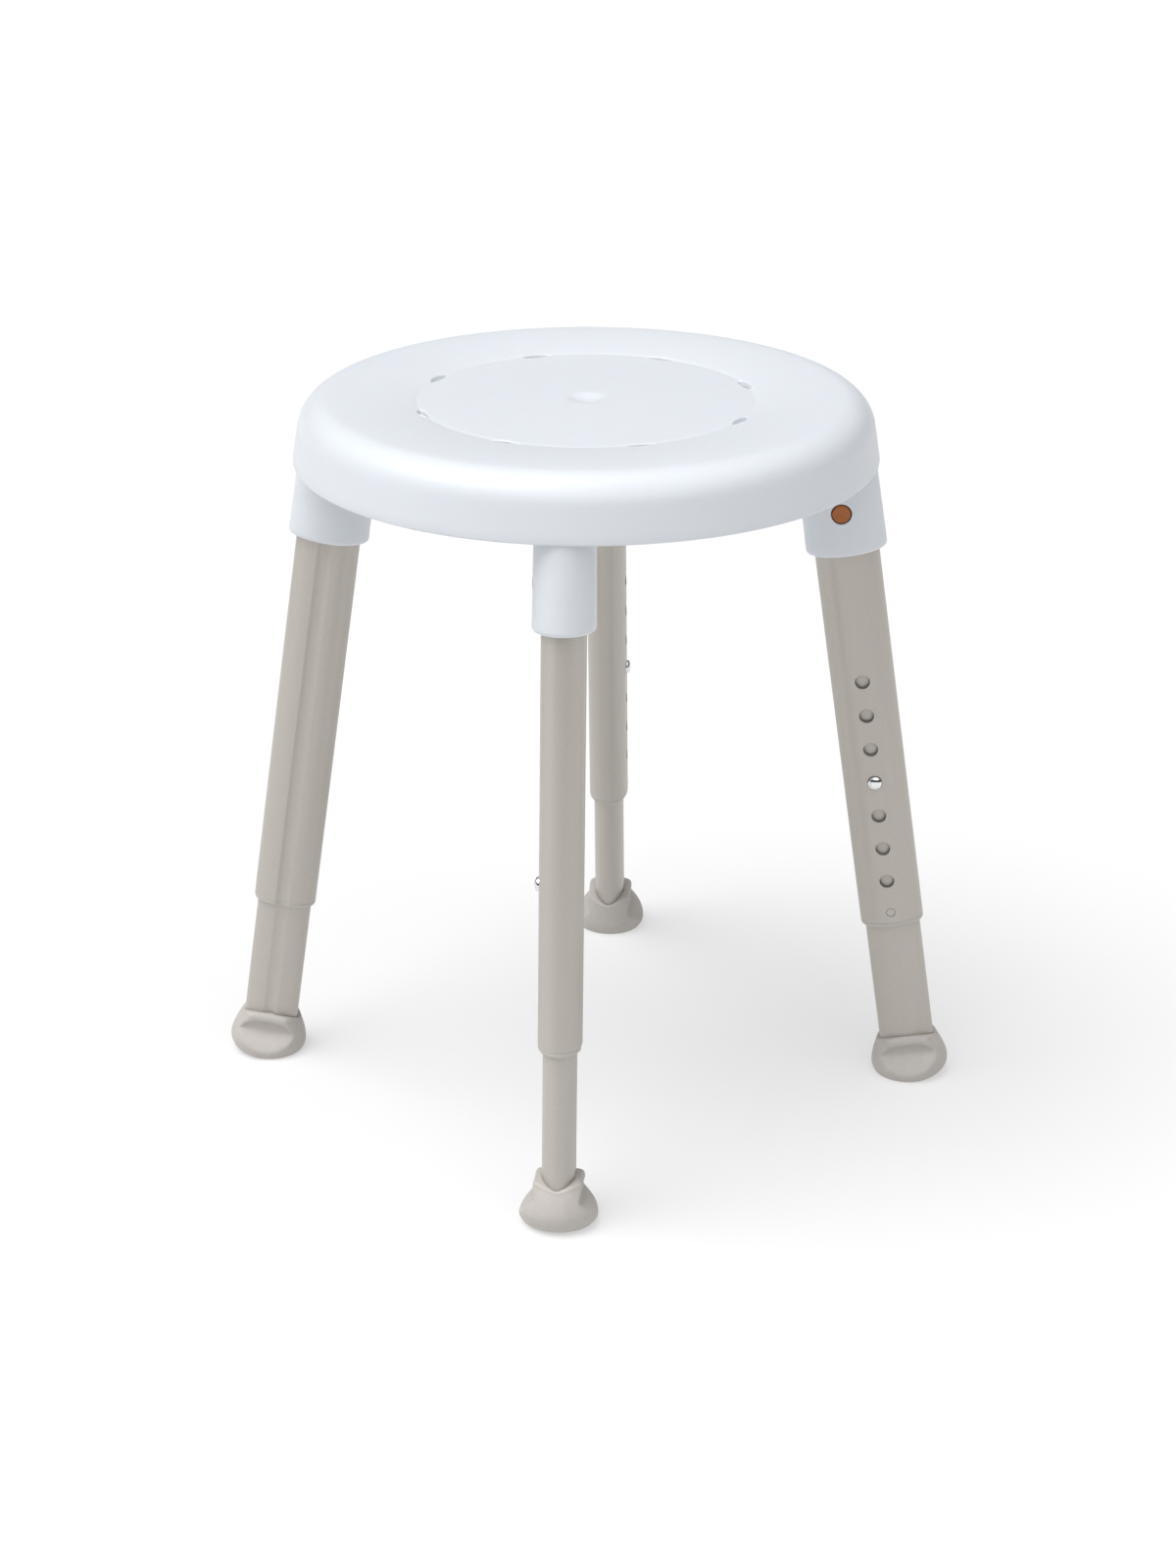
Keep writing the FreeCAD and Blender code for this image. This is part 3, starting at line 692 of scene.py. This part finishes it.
def make_inner_tube(material):
    holes = [(BUTTON_HEIGHT, BUTTON_RADIUS + 0.1, HOLE_CELL)]
    shell = pierced_tube(INNER_HALF, INNER_WALL, INNER_CHANNEL_RADIUS,
                         INNER_BOTTOM, INNER_TOP, holes)
    return shared_mesh(shell, "inner_tube", material)


def make_bush(material):
    """A sleeve inside the tube's end, with a rounded lip and a snap peg."""
    shell = Shell()
    edge = oval_profile(OUTER_HALF, CHANNEL_RADIUS)
    room = oval_profile((INNER_HALF[0] + SLIDE_GAP, INNER_HALF[1] + SLIDE_GAP),
                        INNER_CHANNEL_RADIUS - SLIDE_GAP)
    wall = OUTER_WALL + SLEEVE_GAP
    sleeve = oval_profile((OUTER_HALF[0] - wall, OUTER_HALF[1] - wall),
                          CHANNEL_RADIUS + wall)
    top = TUBE_BOTTOM + SLEEVE_LENGTH
    profiles = [at_height(room, top), at_height(sleeve, top),
                at_height(sleeve, TUBE_BOTTOM),
                at_height(inset(edge, LIP_INSET), TUBE_BOTTOM)]
    start = TUBE_BOTTOM - LIP_STRAIGHT
    for angle in between(0, math.pi / 2, LIP_STEPS):
        share = LIP_SHARE * (1 - math.cos(angle))
        height = start - (LIP - LIP_STRAIGHT) * math.sin(angle)
        ring = [(mix(a[0], b[0], share), mix(a[1], b[1], share))
                for a, b in zip(edge, room)]
        profiles.append(at_height(inset(ring, 0.05), height))
    profiles.append(at_height(room, TUBE_BOTTOM - LIP + 0.2))
    rings = [shell.ring(profile) for profile in profiles]
    for here, ring in enumerate(rings):
        shell.bridge(rings[here - 1], ring)
    face = face_depth(OUTER_HALF, PEG_RADIUS) + 0.02
    turned_knob(shell, PEG_HEIGHT, PEG_SIDES, [
        (0, face), (PEG_RADIUS - 0.5, face), (PEG_RADIUS - 0.15, face + 0.1),
        (PEG_RADIUS, face + 0.4), (PEG_RADIUS, face + PEG_DEPTH),
        (0, face + PEG_DEPTH)])
    return shared_mesh(shell, "tube_bush", material)


def turned_knob(shell, height, count, outline):
    """Turns (radius, y) points about the line through the leg at this height."""
    rings = []
    for radius, y in outline[1:-1]:
        rings.append(shell.ring([
            (radius * math.cos(2 * math.pi * step / count), y,
             height + radius * math.sin(2 * math.pi * step / count))
            for step in range(count)]))
    for first, second in zip(rings, rings[1:]):
        shell.bridge(first, second)
    shell.fan(rings[0], (0, outline[0][1], height))
    shell.fan(rings[-1], (0, outline[-1][1], height), flip=True)


BUTTON_RADIUS, BUTTON_SHOULDER, BUTTON_TIP = 4.9, 15.2, 17.7
BUTTON_FLANGE = (5.6, 8.9, 7.9)
LOCK_RADIUS, LOCK_FACE, LOCK_EDGE = 6.2, 19.9, 0.7
LOCK_FLANGE = (7.8, 11.6, 9.6)


def make_height_button(material):
    """The domed steel pin that snaps into a hole."""
    shell = Shell()
    rise = BUTTON_TIP - BUTTON_SHOULDER
    outline = [(0, -BUTTON_TIP)]
    for angle in between(math.pi / 2, 0, 9)[1:]:
        outline.append((BUTTON_RADIUS * math.cos(angle),
                        -BUTTON_SHOULDER - rise * math.sin(angle)))
    flange, front, back = BUTTON_FLANGE
    outline += [(BUTTON_RADIUS, -front), (flange, -front), (flange, -back), (0, -back)]
    turned_knob(shell, BUTTON_HEIGHT, KNOB_SIDES, outline)
    return shared_mesh(shell, "height_button", material)


def make_lock_button(material):
    """The round button that frees a leg from its socket."""
    shell = Shell()
    inner = LOCK_RADIUS - LOCK_EDGE
    outline = [(0, -LOCK_FACE + 0.25), (inner * 0.5, -LOCK_FACE + 0.18),
               (inner - 0.4, -LOCK_FACE)]
    for angle in between(0, math.pi / 2, 5):
        outline.append((inner + LOCK_EDGE * math.sin(angle),
                        -LOCK_FACE + LOCK_EDGE * (1 - math.cos(angle))))
    flange, front, back = LOCK_FLANGE
    outline += [(LOCK_RADIUS, -front), (flange, -front), (flange, -back), (0, -back)]
    turned_knob(shell, LOCK_HEIGHT, KNOB_SIDES, outline)
    return shared_mesh(shell, "lock_button", material)


# ---- foot ------------------------------------------------------------------

FOOT_COLUMNS = 176
FOOT_WIDEST, FOOT_WIDEST_HEIGHT = 27.2, 9.4
FOOT_UNDERSIDE, FOOT_UNDERSIDE_HEIGHT = 16.5, -2.5
FOOT_TAPER, FOOT_TAPER_POWER = 0.08, 1.5
FOOT_STEPS, FOOT_STEP_BIAS, EAR_STEPS = 46, 1.25, 9
SOLE_GROOVE = 1.2
HOLLOW_WALL, HOLLOW_DEPTH, HOLLOW_HEIGHT, HOLLOW_HALF = 14.4, 2.0, 15.5, (26.0, 11.5)
FLANGE_HEIGHT, FLANGE_RISE, FLANGE_REACH = 3.5, 14.5, 12.6
HOLLOW_EDGE, HOLLOW_CORNER, HOLLOW_BRINK = 1.6, 2.5, 1.6
LEAST_SIDE, MOST_ACROSS, FLANGE_POWER, SOLE_ROUNDS = 0.05, 30, 1.5, 12
FOOT_TOP = 26.4
EAR_REACH, EAR_RISE, EAR_POWER, EAR_CREST = 16.4, 4.6, 1.3, 0.3
TOP_ROUND_RISE, TOP_ROUND_SPAN = (1.6, 4.6), (2.0, 4.3)
FOOT_GAP, FOOT_LIP, TOP_LEDGE = 0.05, 0.12, 0.25
FOOT_ROOM_HEIGHTS = (25.5, 18, 9.4)


def soft_max(first, second, reach):
    share = min(max((first - second) / reach, -1), 1)
    return max(first, second) + reach * (1 - abs(share)) ** 2 / 4


def soft_min(first, second, reach):
    return -soft_max(-first, -second, reach)


def foot_body(height):
    """Radius of the foot's round body at a height up the leg."""
    rise = height - FOOT_WIDEST_HEIGHT
    if rise >= 0:
        return FOOT_WIDEST - FOOT_TAPER * rise ** FOOT_TAPER_POWER
    drop = rise / (FOOT_WIDEST_HEIGHT - FOOT_UNDERSIDE_HEIGHT)
    curl = FOOT_WIDEST - FOOT_UNDERSIDE
    return FOOT_WIDEST - curl * (1 - math.sqrt(max(1 - drop ** 2, 0)))


def foot_reach(angle, height):
    """Distance from the leg's axis to the foot's skin: the round body, less a
    hollow on each flat side with a flat wall above and a sloping floor below."""
    body = foot_body(height)
    side = max(abs(math.sin(angle)), LEAST_SIDE)
    across = min(HOLLOW_WALL * abs(math.cos(angle)) / side, MOST_ACROSS)
    oval = (across / HOLLOW_HALF[0]) ** 2 + ((height - HOLLOW_HEIGHT) / HOLLOW_HALF[1]) ** 2
    wall = EAR_REACH - HOLLOW_DEPTH * smooth_step(HOLLOW_EDGE * (1 - oval))
    drop = max(height - FLANGE_HEIGHT, 0) / FLANGE_RISE
    slope = HOLLOW_WALL + FLANGE_REACH * (1 - drop ** FLANGE_POWER)
    limit = soft_max(slope, wall, HOLLOW_CORNER) / side
    return min(body, soft_min(body, limit, HOLLOW_BRINK))


def sole_reach(angle):
    """Distance from the leg's axis to the sole's edge, where the body meets the floor."""
    reach = FOOT_WIDEST
    for _ in range(SOLE_ROUNDS):
        reach = foot_body(floor_height(angle, reach))
    return reach


def floor_height(angle, reach):
    """Height of the level floor in the leaning leg frame."""
    return -reach * math.cos(angle) * math.tan(LEAN)


def oval_reach(angle, gap=0.0):
    """Distance from the leg's axis to the inner tube's oval, without its channel."""
    across = math.cos(angle) / (INNER_HALF[0] + gap)
    along = math.sin(angle) / (INNER_HALF[1] + gap)
    return 1 / math.hypot(across, along)


def tube_reach(angle):
    """Distance from the leg's axis to the inner tube's skin, channel and all."""
    oval = oval_reach(angle, FOOT_GAP)
    to_middle = CHANNEL_AXIS * math.sin(angle)
    gap = to_middle ** 2 - CHANNEL_AXIS ** 2 + (INNER_CHANNEL_RADIUS - FOOT_GAP) ** 2
    if to_middle > 0 and gap > 0:
        return min(oval, to_middle - math.sqrt(gap))
    return oval


def foot_top(angle):
    """Height of the foot where it meets the tube: an ear on each flat side."""
    reach = oval_reach(angle) if math.sin(angle) > 0 else tube_reach(angle)
    side = min(abs(reach * math.sin(angle)) / INNER_HALF[1], 1)
    return FOOT_TOP + EAR_RISE * side ** EAR_POWER


def foot_ear(angle):
    """Where the side turns into the rounded top: its reach, its height, and how
    far the rounding goes in and up."""
    tube = tube_reach(angle)
    side = math.sin(angle) ** 2
    crest = foot_top(angle) + EAR_CREST * side
    rise = mix(*TOP_ROUND_RISE, side)
    reach = foot_reach(angle, crest - rise)
    ledge = max(reach - mix(*TOP_ROUND_SPAN, side), tube + TOP_LEDGE)
    return reach, crest - rise, reach - ledge, rise


def make_foot(material):
    """A soft foot round the end of the leg: a level sole with two grooves, a
    rounded flange, and a neck whose two ears stand up beside the tube."""
    shell = Shell()
    angles = [2 * math.pi * step / FOOT_COLUMNS for step in range(FOOT_COLUMNS)]

    def level(find):
        points = []
        for angle in angles:
            reach, height = find(angle)
            points.append((reach * math.cos(angle), reach * math.sin(angle), height))
        return shell.ring(points)

    def sole_ring(share, lift):
        def find(angle):
            reach = sole_reach(angle) * share
            return reach, floor_height(angle, reach) + lift
        return level(find)

    def side_ring(share):
        def find(angle):
            low = floor_height(angle, sole_reach(angle))
            height = mix(low, foot_ear(angle)[1], share ** FOOT_STEP_BIAS)
            return foot_reach(angle, height), height
        return level(find)

    def ear_ring(turn):
        def find(angle):
            reach, height, span, rise = foot_ear(angle)
            return reach - span * (1 - math.cos(turn)), height + rise * math.sin(turn)
        return level(find)

    sole = [(0.1, 0)]
    for share in (0.36, 0.68):
        sole += [(share, 0), (share + 0.02, SOLE_GROOVE), (share + 0.10, SOLE_GROOVE),
                 (share + 0.12, 0)]
    sole.append((0.97, 0))
    rings = [sole_ring(share, lift) for share, lift in sole]
    shell.fan(rings[0], (0, 0, 0), flip=True)
    rings += [side_ring(share) for share in between(0, 1, FOOT_STEPS)]
    rings += [ear_ring(turn) for turn in between(0, math.pi / 2, EAR_STEPS)[1:]]
    rings.append(level(lambda angle: (tube_reach(angle) + FOOT_LIP, foot_top(angle))))
    for height in FOOT_ROOM_HEIGHTS:
        rings.append(level(lambda angle: (tube_reach(angle), height)))
    for first, second in zip(rings, rings[1:]):
        shell.bridge(first, second)
    shell.fan(rings[-1], (0, 0, FOOT_ROOM_HEIGHTS[-1]))
    return shared_mesh(shell, "foot", material, sharp_angle=50)


# ---- materials -------------------------------------------------------------

class Nodes:
    """A new material with its Principled shader, and short ways to add nodes."""

    def __init__(self, name, color, roughness, metallic=0.0):
        self.material = bpy.data.materials.new(name)
        self.material.use_nodes = True
        self.tree = self.material.node_tree
        self.shader = next(n for n in self.tree.nodes if n.type == "BSDF_PRINCIPLED")
        self.set(self.shader, {"Base Color": (*color, 1), "Roughness": roughness,
                               "Metallic": metallic})
        self.material.diffuse_color = (*color, 1)

    def set(self, node, values):
        for socket, value in values.items():
            node.inputs[socket].default_value = value

    def add(self, kind, values=None, **settings):
        node = self.tree.nodes.new("ShaderNode" + kind)
        for setting, value in settings.items():
            setattr(node, setting, value)
        self.set(node, values or {})
        return node

    def link(self, source, target, socket, output=0):
        self.tree.links.new(source.outputs[output], target.inputs[socket])

    def noise(self, scale, detail=3.0, stretch=(1, 1, 1), rough=0.5):
        """Noise in the piece's own metres, drawn out along an axis by stretch."""
        place = self.add("TexCoord")
        mapping = self.add("Mapping", {"Scale": stretch})
        noise = self.add("TexNoise", {"Scale": scale, "Detail": detail, "Roughness": rough})
        self.tree.links.new(place.outputs["Object"], mapping.inputs["Vector"])
        self.link(mapping, noise, "Vector")
        return noise

    def ramp(self, source, low, high):
        """Maps the usual spread of a noise to the values low..high."""
        spread = self.add("MapRange", {"From Min": 0.3, "From Max": 0.7,
                                       "To Min": low, "To Max": high})
        self.link(source, spread, "Value")
        return spread

    def tint(self, source, first, second):
        """Colours the surface between two colours by a noise."""
        blend = self.add("ValToRGB")
        blend.color_ramp.elements[0].position = 0.3
        blend.color_ramp.elements[1].position = 0.7
        blend.color_ramp.elements[0].color = (*first, 1)
        blend.color_ramp.elements[1].color = (*second, 1)
        self.link(source, blend, "Fac")
        self.link(blend, self.shader, "Base Color")

    def rough(self, source, low, high):
        self.link(self.ramp(source, low, high), self.shader, "Roughness")

    def bump(self, source, height, strength=1.0, below=None):
        """Relief of this height in metres, over another bump when one is given."""
        relief = self.add("Bump", {"Strength": strength, "Distance": height})
        self.link(source, relief, "Height")
        if below:
            self.link(below, relief, "Normal")
        self.link(relief, self.shader, "Normal")
        return relief


def seat_plastic():
    """Satin moulded plastic with a fine grain and faint flow clouds."""
    look = Nodes("seat_plastic", (0.690, 0.722, 0.764), 0.36)
    look.tint(look.noise(9, 2), (0.684, 0.717, 0.760), (0.696, 0.727, 0.768))
    grain = look.noise(2600, 2)
    look.rough(look.noise(240, 3), 0.33, 0.41)
    wave = look.bump(look.noise(26, 2), 0.00012, 0.6)
    look.bump(grain, 0.00001, 0.5, wave)
    look.set(look.shader, {"IOR": 1.47, "Subsurface Weight": 0.06,
                           "Subsurface Scale": 0.002})
    return look.material


def tube_aluminium():
    """Satin anodised aluminium with the fine lines of its extrusion."""
    look = Nodes("tube_aluminium", (0.49, 0.46, 0.42), 0.34, 0.45)
    lines = look.noise(900, 3, (1, 1, 0.012))
    speckle = look.noise(1500, 2)
    look.tint(speckle, (0.465, 0.434, 0.393), (0.515, 0.484, 0.443))
    look.rough(lines, 0.32, 0.42)
    drawn = look.bump(lines, 0.000006, 0.5)
    look.bump(speckle, 0.00001, 0.6, drawn)
    return look.material


def bush_plastic():
    look = Nodes("bush_plastic", (0.50, 0.475, 0.44), 0.5)
    look.tint(look.noise(600, 3), (0.485, 0.46, 0.425), (0.515, 0.49, 0.455))
    look.rough(look.noise(300, 2), 0.42, 0.56)
    look.bump(look.noise(1800, 2), 0.00001, 0.5)
    return look.material


def inner_plastic():
    look = Nodes("inner_plastic", (0.42, 0.42, 0.43), 0.5)
    look.tint(look.noise(300, 3), (0.39, 0.39, 0.40), (0.45, 0.45, 0.46))
    look.rough(look.noise(500, 2), 0.42, 0.58)
    look.bump(look.noise(1600, 2), 0.00001, 0.6)
    return look.material


def foot_rubber():
    """Matte soft rubber with a fine moulded grain."""
    look = Nodes("foot_rubber", (0.48, 0.45, 0.42), 0.6)
    look.tint(look.noise(160, 4), (0.465, 0.435, 0.405), (0.495, 0.465, 0.435))
    look.rough(look.noise(700, 3), 0.52, 0.68)
    wave = look.bump(look.noise(90, 2), 0.00008, 0.5)
    look.bump(look.noise(2200, 3), 0.00002, 0.6, wave)
    look.set(look.shader, {"Sheen Weight": 0.15, "Sheen Roughness": 0.5})
    return look.material


def button_steel():
    look = Nodes("button_steel", (0.78, 0.78, 0.79), 0.12, 1.0)
    scratch = look.noise(1400, 3, (1, 0.05, 1))
    look.tint(look.noise(400, 2), (0.74, 0.74, 0.75), (0.80, 0.80, 0.80))
    look.rough(scratch, 0.08, 0.18)
    look.bump(scratch, 0.000003, 0.4)
    return look.material


def spring_steel():
    look = Nodes("spring_steel", (0.52, 0.52, 0.54), 0.3, 1.0)
    drawn = look.noise(1200, 3, (1, 1, 0.05))
    look.tint(look.noise(300, 3), (0.47, 0.47, 0.49), (0.57, 0.57, 0.59))
    look.rough(drawn, 0.24, 0.38)
    look.bump(drawn, 0.000004, 0.5)
    return look.material


def lock_plastic():
    """Glossy orange moulding."""
    look = Nodes("lock_plastic", (0.36, 0.10, 0.012), 0.35)
    look.tint(look.noise(240, 3), (0.34, 0.09, 0.010), (0.38, 0.11, 0.014))
    look.rough(look.noise(500, 2), 0.28, 0.42)
    look.bump(look.noise(1500, 2), 0.000012, 0.5)
    return look.material


def pale_floor():
    """White sheet that glows a little, like a light table, so shadows stay faint."""
    look = Nodes("pale_floor", (0.45, 0.45, 0.45), 0.8)
    look.tint(look.noise(3, 3), (0.446, 0.446, 0.446), (0.454, 0.454, 0.454))
    look.set(look.shader, {"Emission Color": (1, 1, 1, 1), "Emission Strength": 0.43,
                           "Specular IOR Level": 0.0})
    return look.material


LOOKS = {make.__name__: make() for make in (
    seat_plastic, tube_aluminium, bush_plastic, inner_plastic, foot_rubber, button_steel,
    spring_steel, lock_plastic)}


# ---- assembly --------------------------------------------------------------

LEAF_HALF_SPAN = 7.9
COIL_END, COIL_KEEP = 5.0, 0.62


def dress_cad_nodes():
    """Gives every CAD node the look of its slot, shown or not."""
    slots = {part["node"]: part["material_slot"] for part in record["subparts"]}
    for name, node in frame["nodes"].items():
        node.data.materials.clear()
        node.data.materials.append(LOOKS[slots[name]])
        node.data.shade_smooth()
        node.data.set_sharp_from_angle(angle=math.radians(35))


def build_seat():
    plastic = LOOKS["seat_plastic"]
    for piece in (make_seat_deck(plastic), make_ribs(plastic)):
        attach(piece, "frame")
        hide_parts("seat")
    socket = make_socket(plastic)
    for side in SIDES:
        add_piece(socket, "seat_socket_" + side, leg_frame(side), "frame",
                  "seat_plastic", "seat")


def build_legs():
    parts = (
        ("outer_tube", make_outer_tube, "tube_aluminium", "frame"),
        ("tube_bush", make_bush, "bush_plastic", "frame"),
        ("inner_tube", make_inner_tube, "tube_aluminium", "leg_{}"),
        ("height_button", make_height_button, "button_steel", "height_pin_{}"),
        ("lock_button", make_lock_button, "lock_plastic", "lock_pin_{}"),
    )
    for name, make, slot, body in parts:
        mesh = make(LOOKS[slot])
        for side in SIDES:
            add_piece(mesh, f"{name}_{side}_skin", leg_frame(side), body.format(side),
                      slot, f"{name}_{side}")
    foot = make_foot(LOOKS["foot_rubber"])
    for side in SIDES:
        add_piece(foot, f"foot_{side}_skin", leg_frame(side), "leg_" + side,
                  "foot_rubber", "foot_" + side)


def copy_of_node(name):
    """A piece with the shape of a CAD node, standing in its place while the node is hidden."""
    node = frame["nodes"][name]
    piece = bpy.data.objects.new(name + "_skin", node.data.copy())
    bpy.context.scene.collection.objects.link(piece)
    piece.matrix_world = node.matrix_world.copy()
    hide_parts(name)
    return piece


def build_springs():
    """Copies of the springs: the leaf spring baked in place, the coil spring set on the frame."""
    for side in SIDES:
        place = leg_frame(side)

        def spot(y, height):
            return place @ (Vector((0, y, height)) * METRE)

        leaf = copy_of_node("height_spring_" + side)
        spot(-LEAF_HALF_SPAN, BUTTON_HEIGHT)
        spot(LEAF_HALF_SPAN, BUTTON_HEIGHT)
        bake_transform(leaf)
        coil = copy_of_node("lock_spring_" + side)
        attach(coil, "frame")
        spot(COIL_END, LOCK_HEIGHT)
        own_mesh(coil)


dress_cad_nodes()
build_seat()
build_legs()
build_springs()


# ---- floor, light and camera -----------------------------------------------

FLOOR_REACH, FLOOR_HEIGHT = 30000, -0.2


def make_floor():
    shell = Shell()
    size = FLOOR_REACH
    corners = [(-size, -size), (size, -size), (size, size), (-size, size)]
    shell.faces.append(tuple(shell.ring([(x, y, FLOOR_HEIGHT) for x, y in corners])))
    floor = shell.make("floor", pale_floor())


def soft_light(name, place, target, size, power):
    data = bpy.data.lights.new(name, "AREA")
    data.shape = "DISK"
    data.size = size
    data.energy = power
    lamp = bpy.data.objects.new(name, data)
    bpy.context.scene.collection.objects.link(lamp)
    lamp.location = place
    aim = Vector(target) - Vector(place)
    lamp.rotation_euler = aim.to_track_quat("-Z", "Y").to_euler()


def soft_sun(name, source, spread, strength):
    """Even light from one side of the room; spread is its width in degrees."""
    data = bpy.data.lights.new(name, "SUN")
    data.angle = math.radians(spread)
    data.energy = strength
    lamp = bpy.data.objects.new(name, data)
    bpy.context.scene.collection.objects.link(lamp)
    lamp.rotation_euler = Vector(source).to_track_quat("Z", "Y").to_euler()


def set_world(strength):
    world = bpy.data.worlds.new("studio")
    world.use_nodes = True
    world.node_tree.nodes["Background"].inputs["Color"].default_value = (1, 1, 1, 1)
    world.node_tree.nodes["Background"].inputs["Strength"].default_value = strength
    bpy.context.scene.world = world


CAMERA_PLACE = (0.1686, -2.1134, 1.0954)
CAMERA_TURN, CAMERA_PITCH, CAMERA_ROLL = 4.533, 22.58, -0.028
CAMERA_LENS = 75.1


def make_camera():
    data = bpy.data.cameras.new("camera")
    data.sensor_fit = "AUTO"
    data.sensor_width = 36
    data.lens = CAMERA_LENS
    data.clip_end = 100
    camera = bpy.data.objects.new("camera", data)
    bpy.context.scene.collection.objects.link(camera)
    turn = Matrix.Rotation(math.radians(CAMERA_TURN), 4, "Z")
    tilt = Matrix.Rotation(math.radians(90 - CAMERA_PITCH), 4, "X")
    roll = Matrix.Rotation(math.radians(CAMERA_ROLL), 4, "Z")
    camera.matrix_world = Matrix.Translation(CAMERA_PLACE) @ turn @ tilt @ roll
    bpy.context.scene.camera = camera


make_floor()
set_world(0.10)
soft_sun("key", (-0.50, -0.14, 1.0), 50, 2.25)
soft_sun("top", (0.12, -0.34, 1.0), 90, 2.0)
soft_light("side", (-2.4, -0.9, 0.7), (0, 0, 0.3), 1.4, 3)
make_camera()
bpy.context.scene.view_settings.view_transform = "Standard"
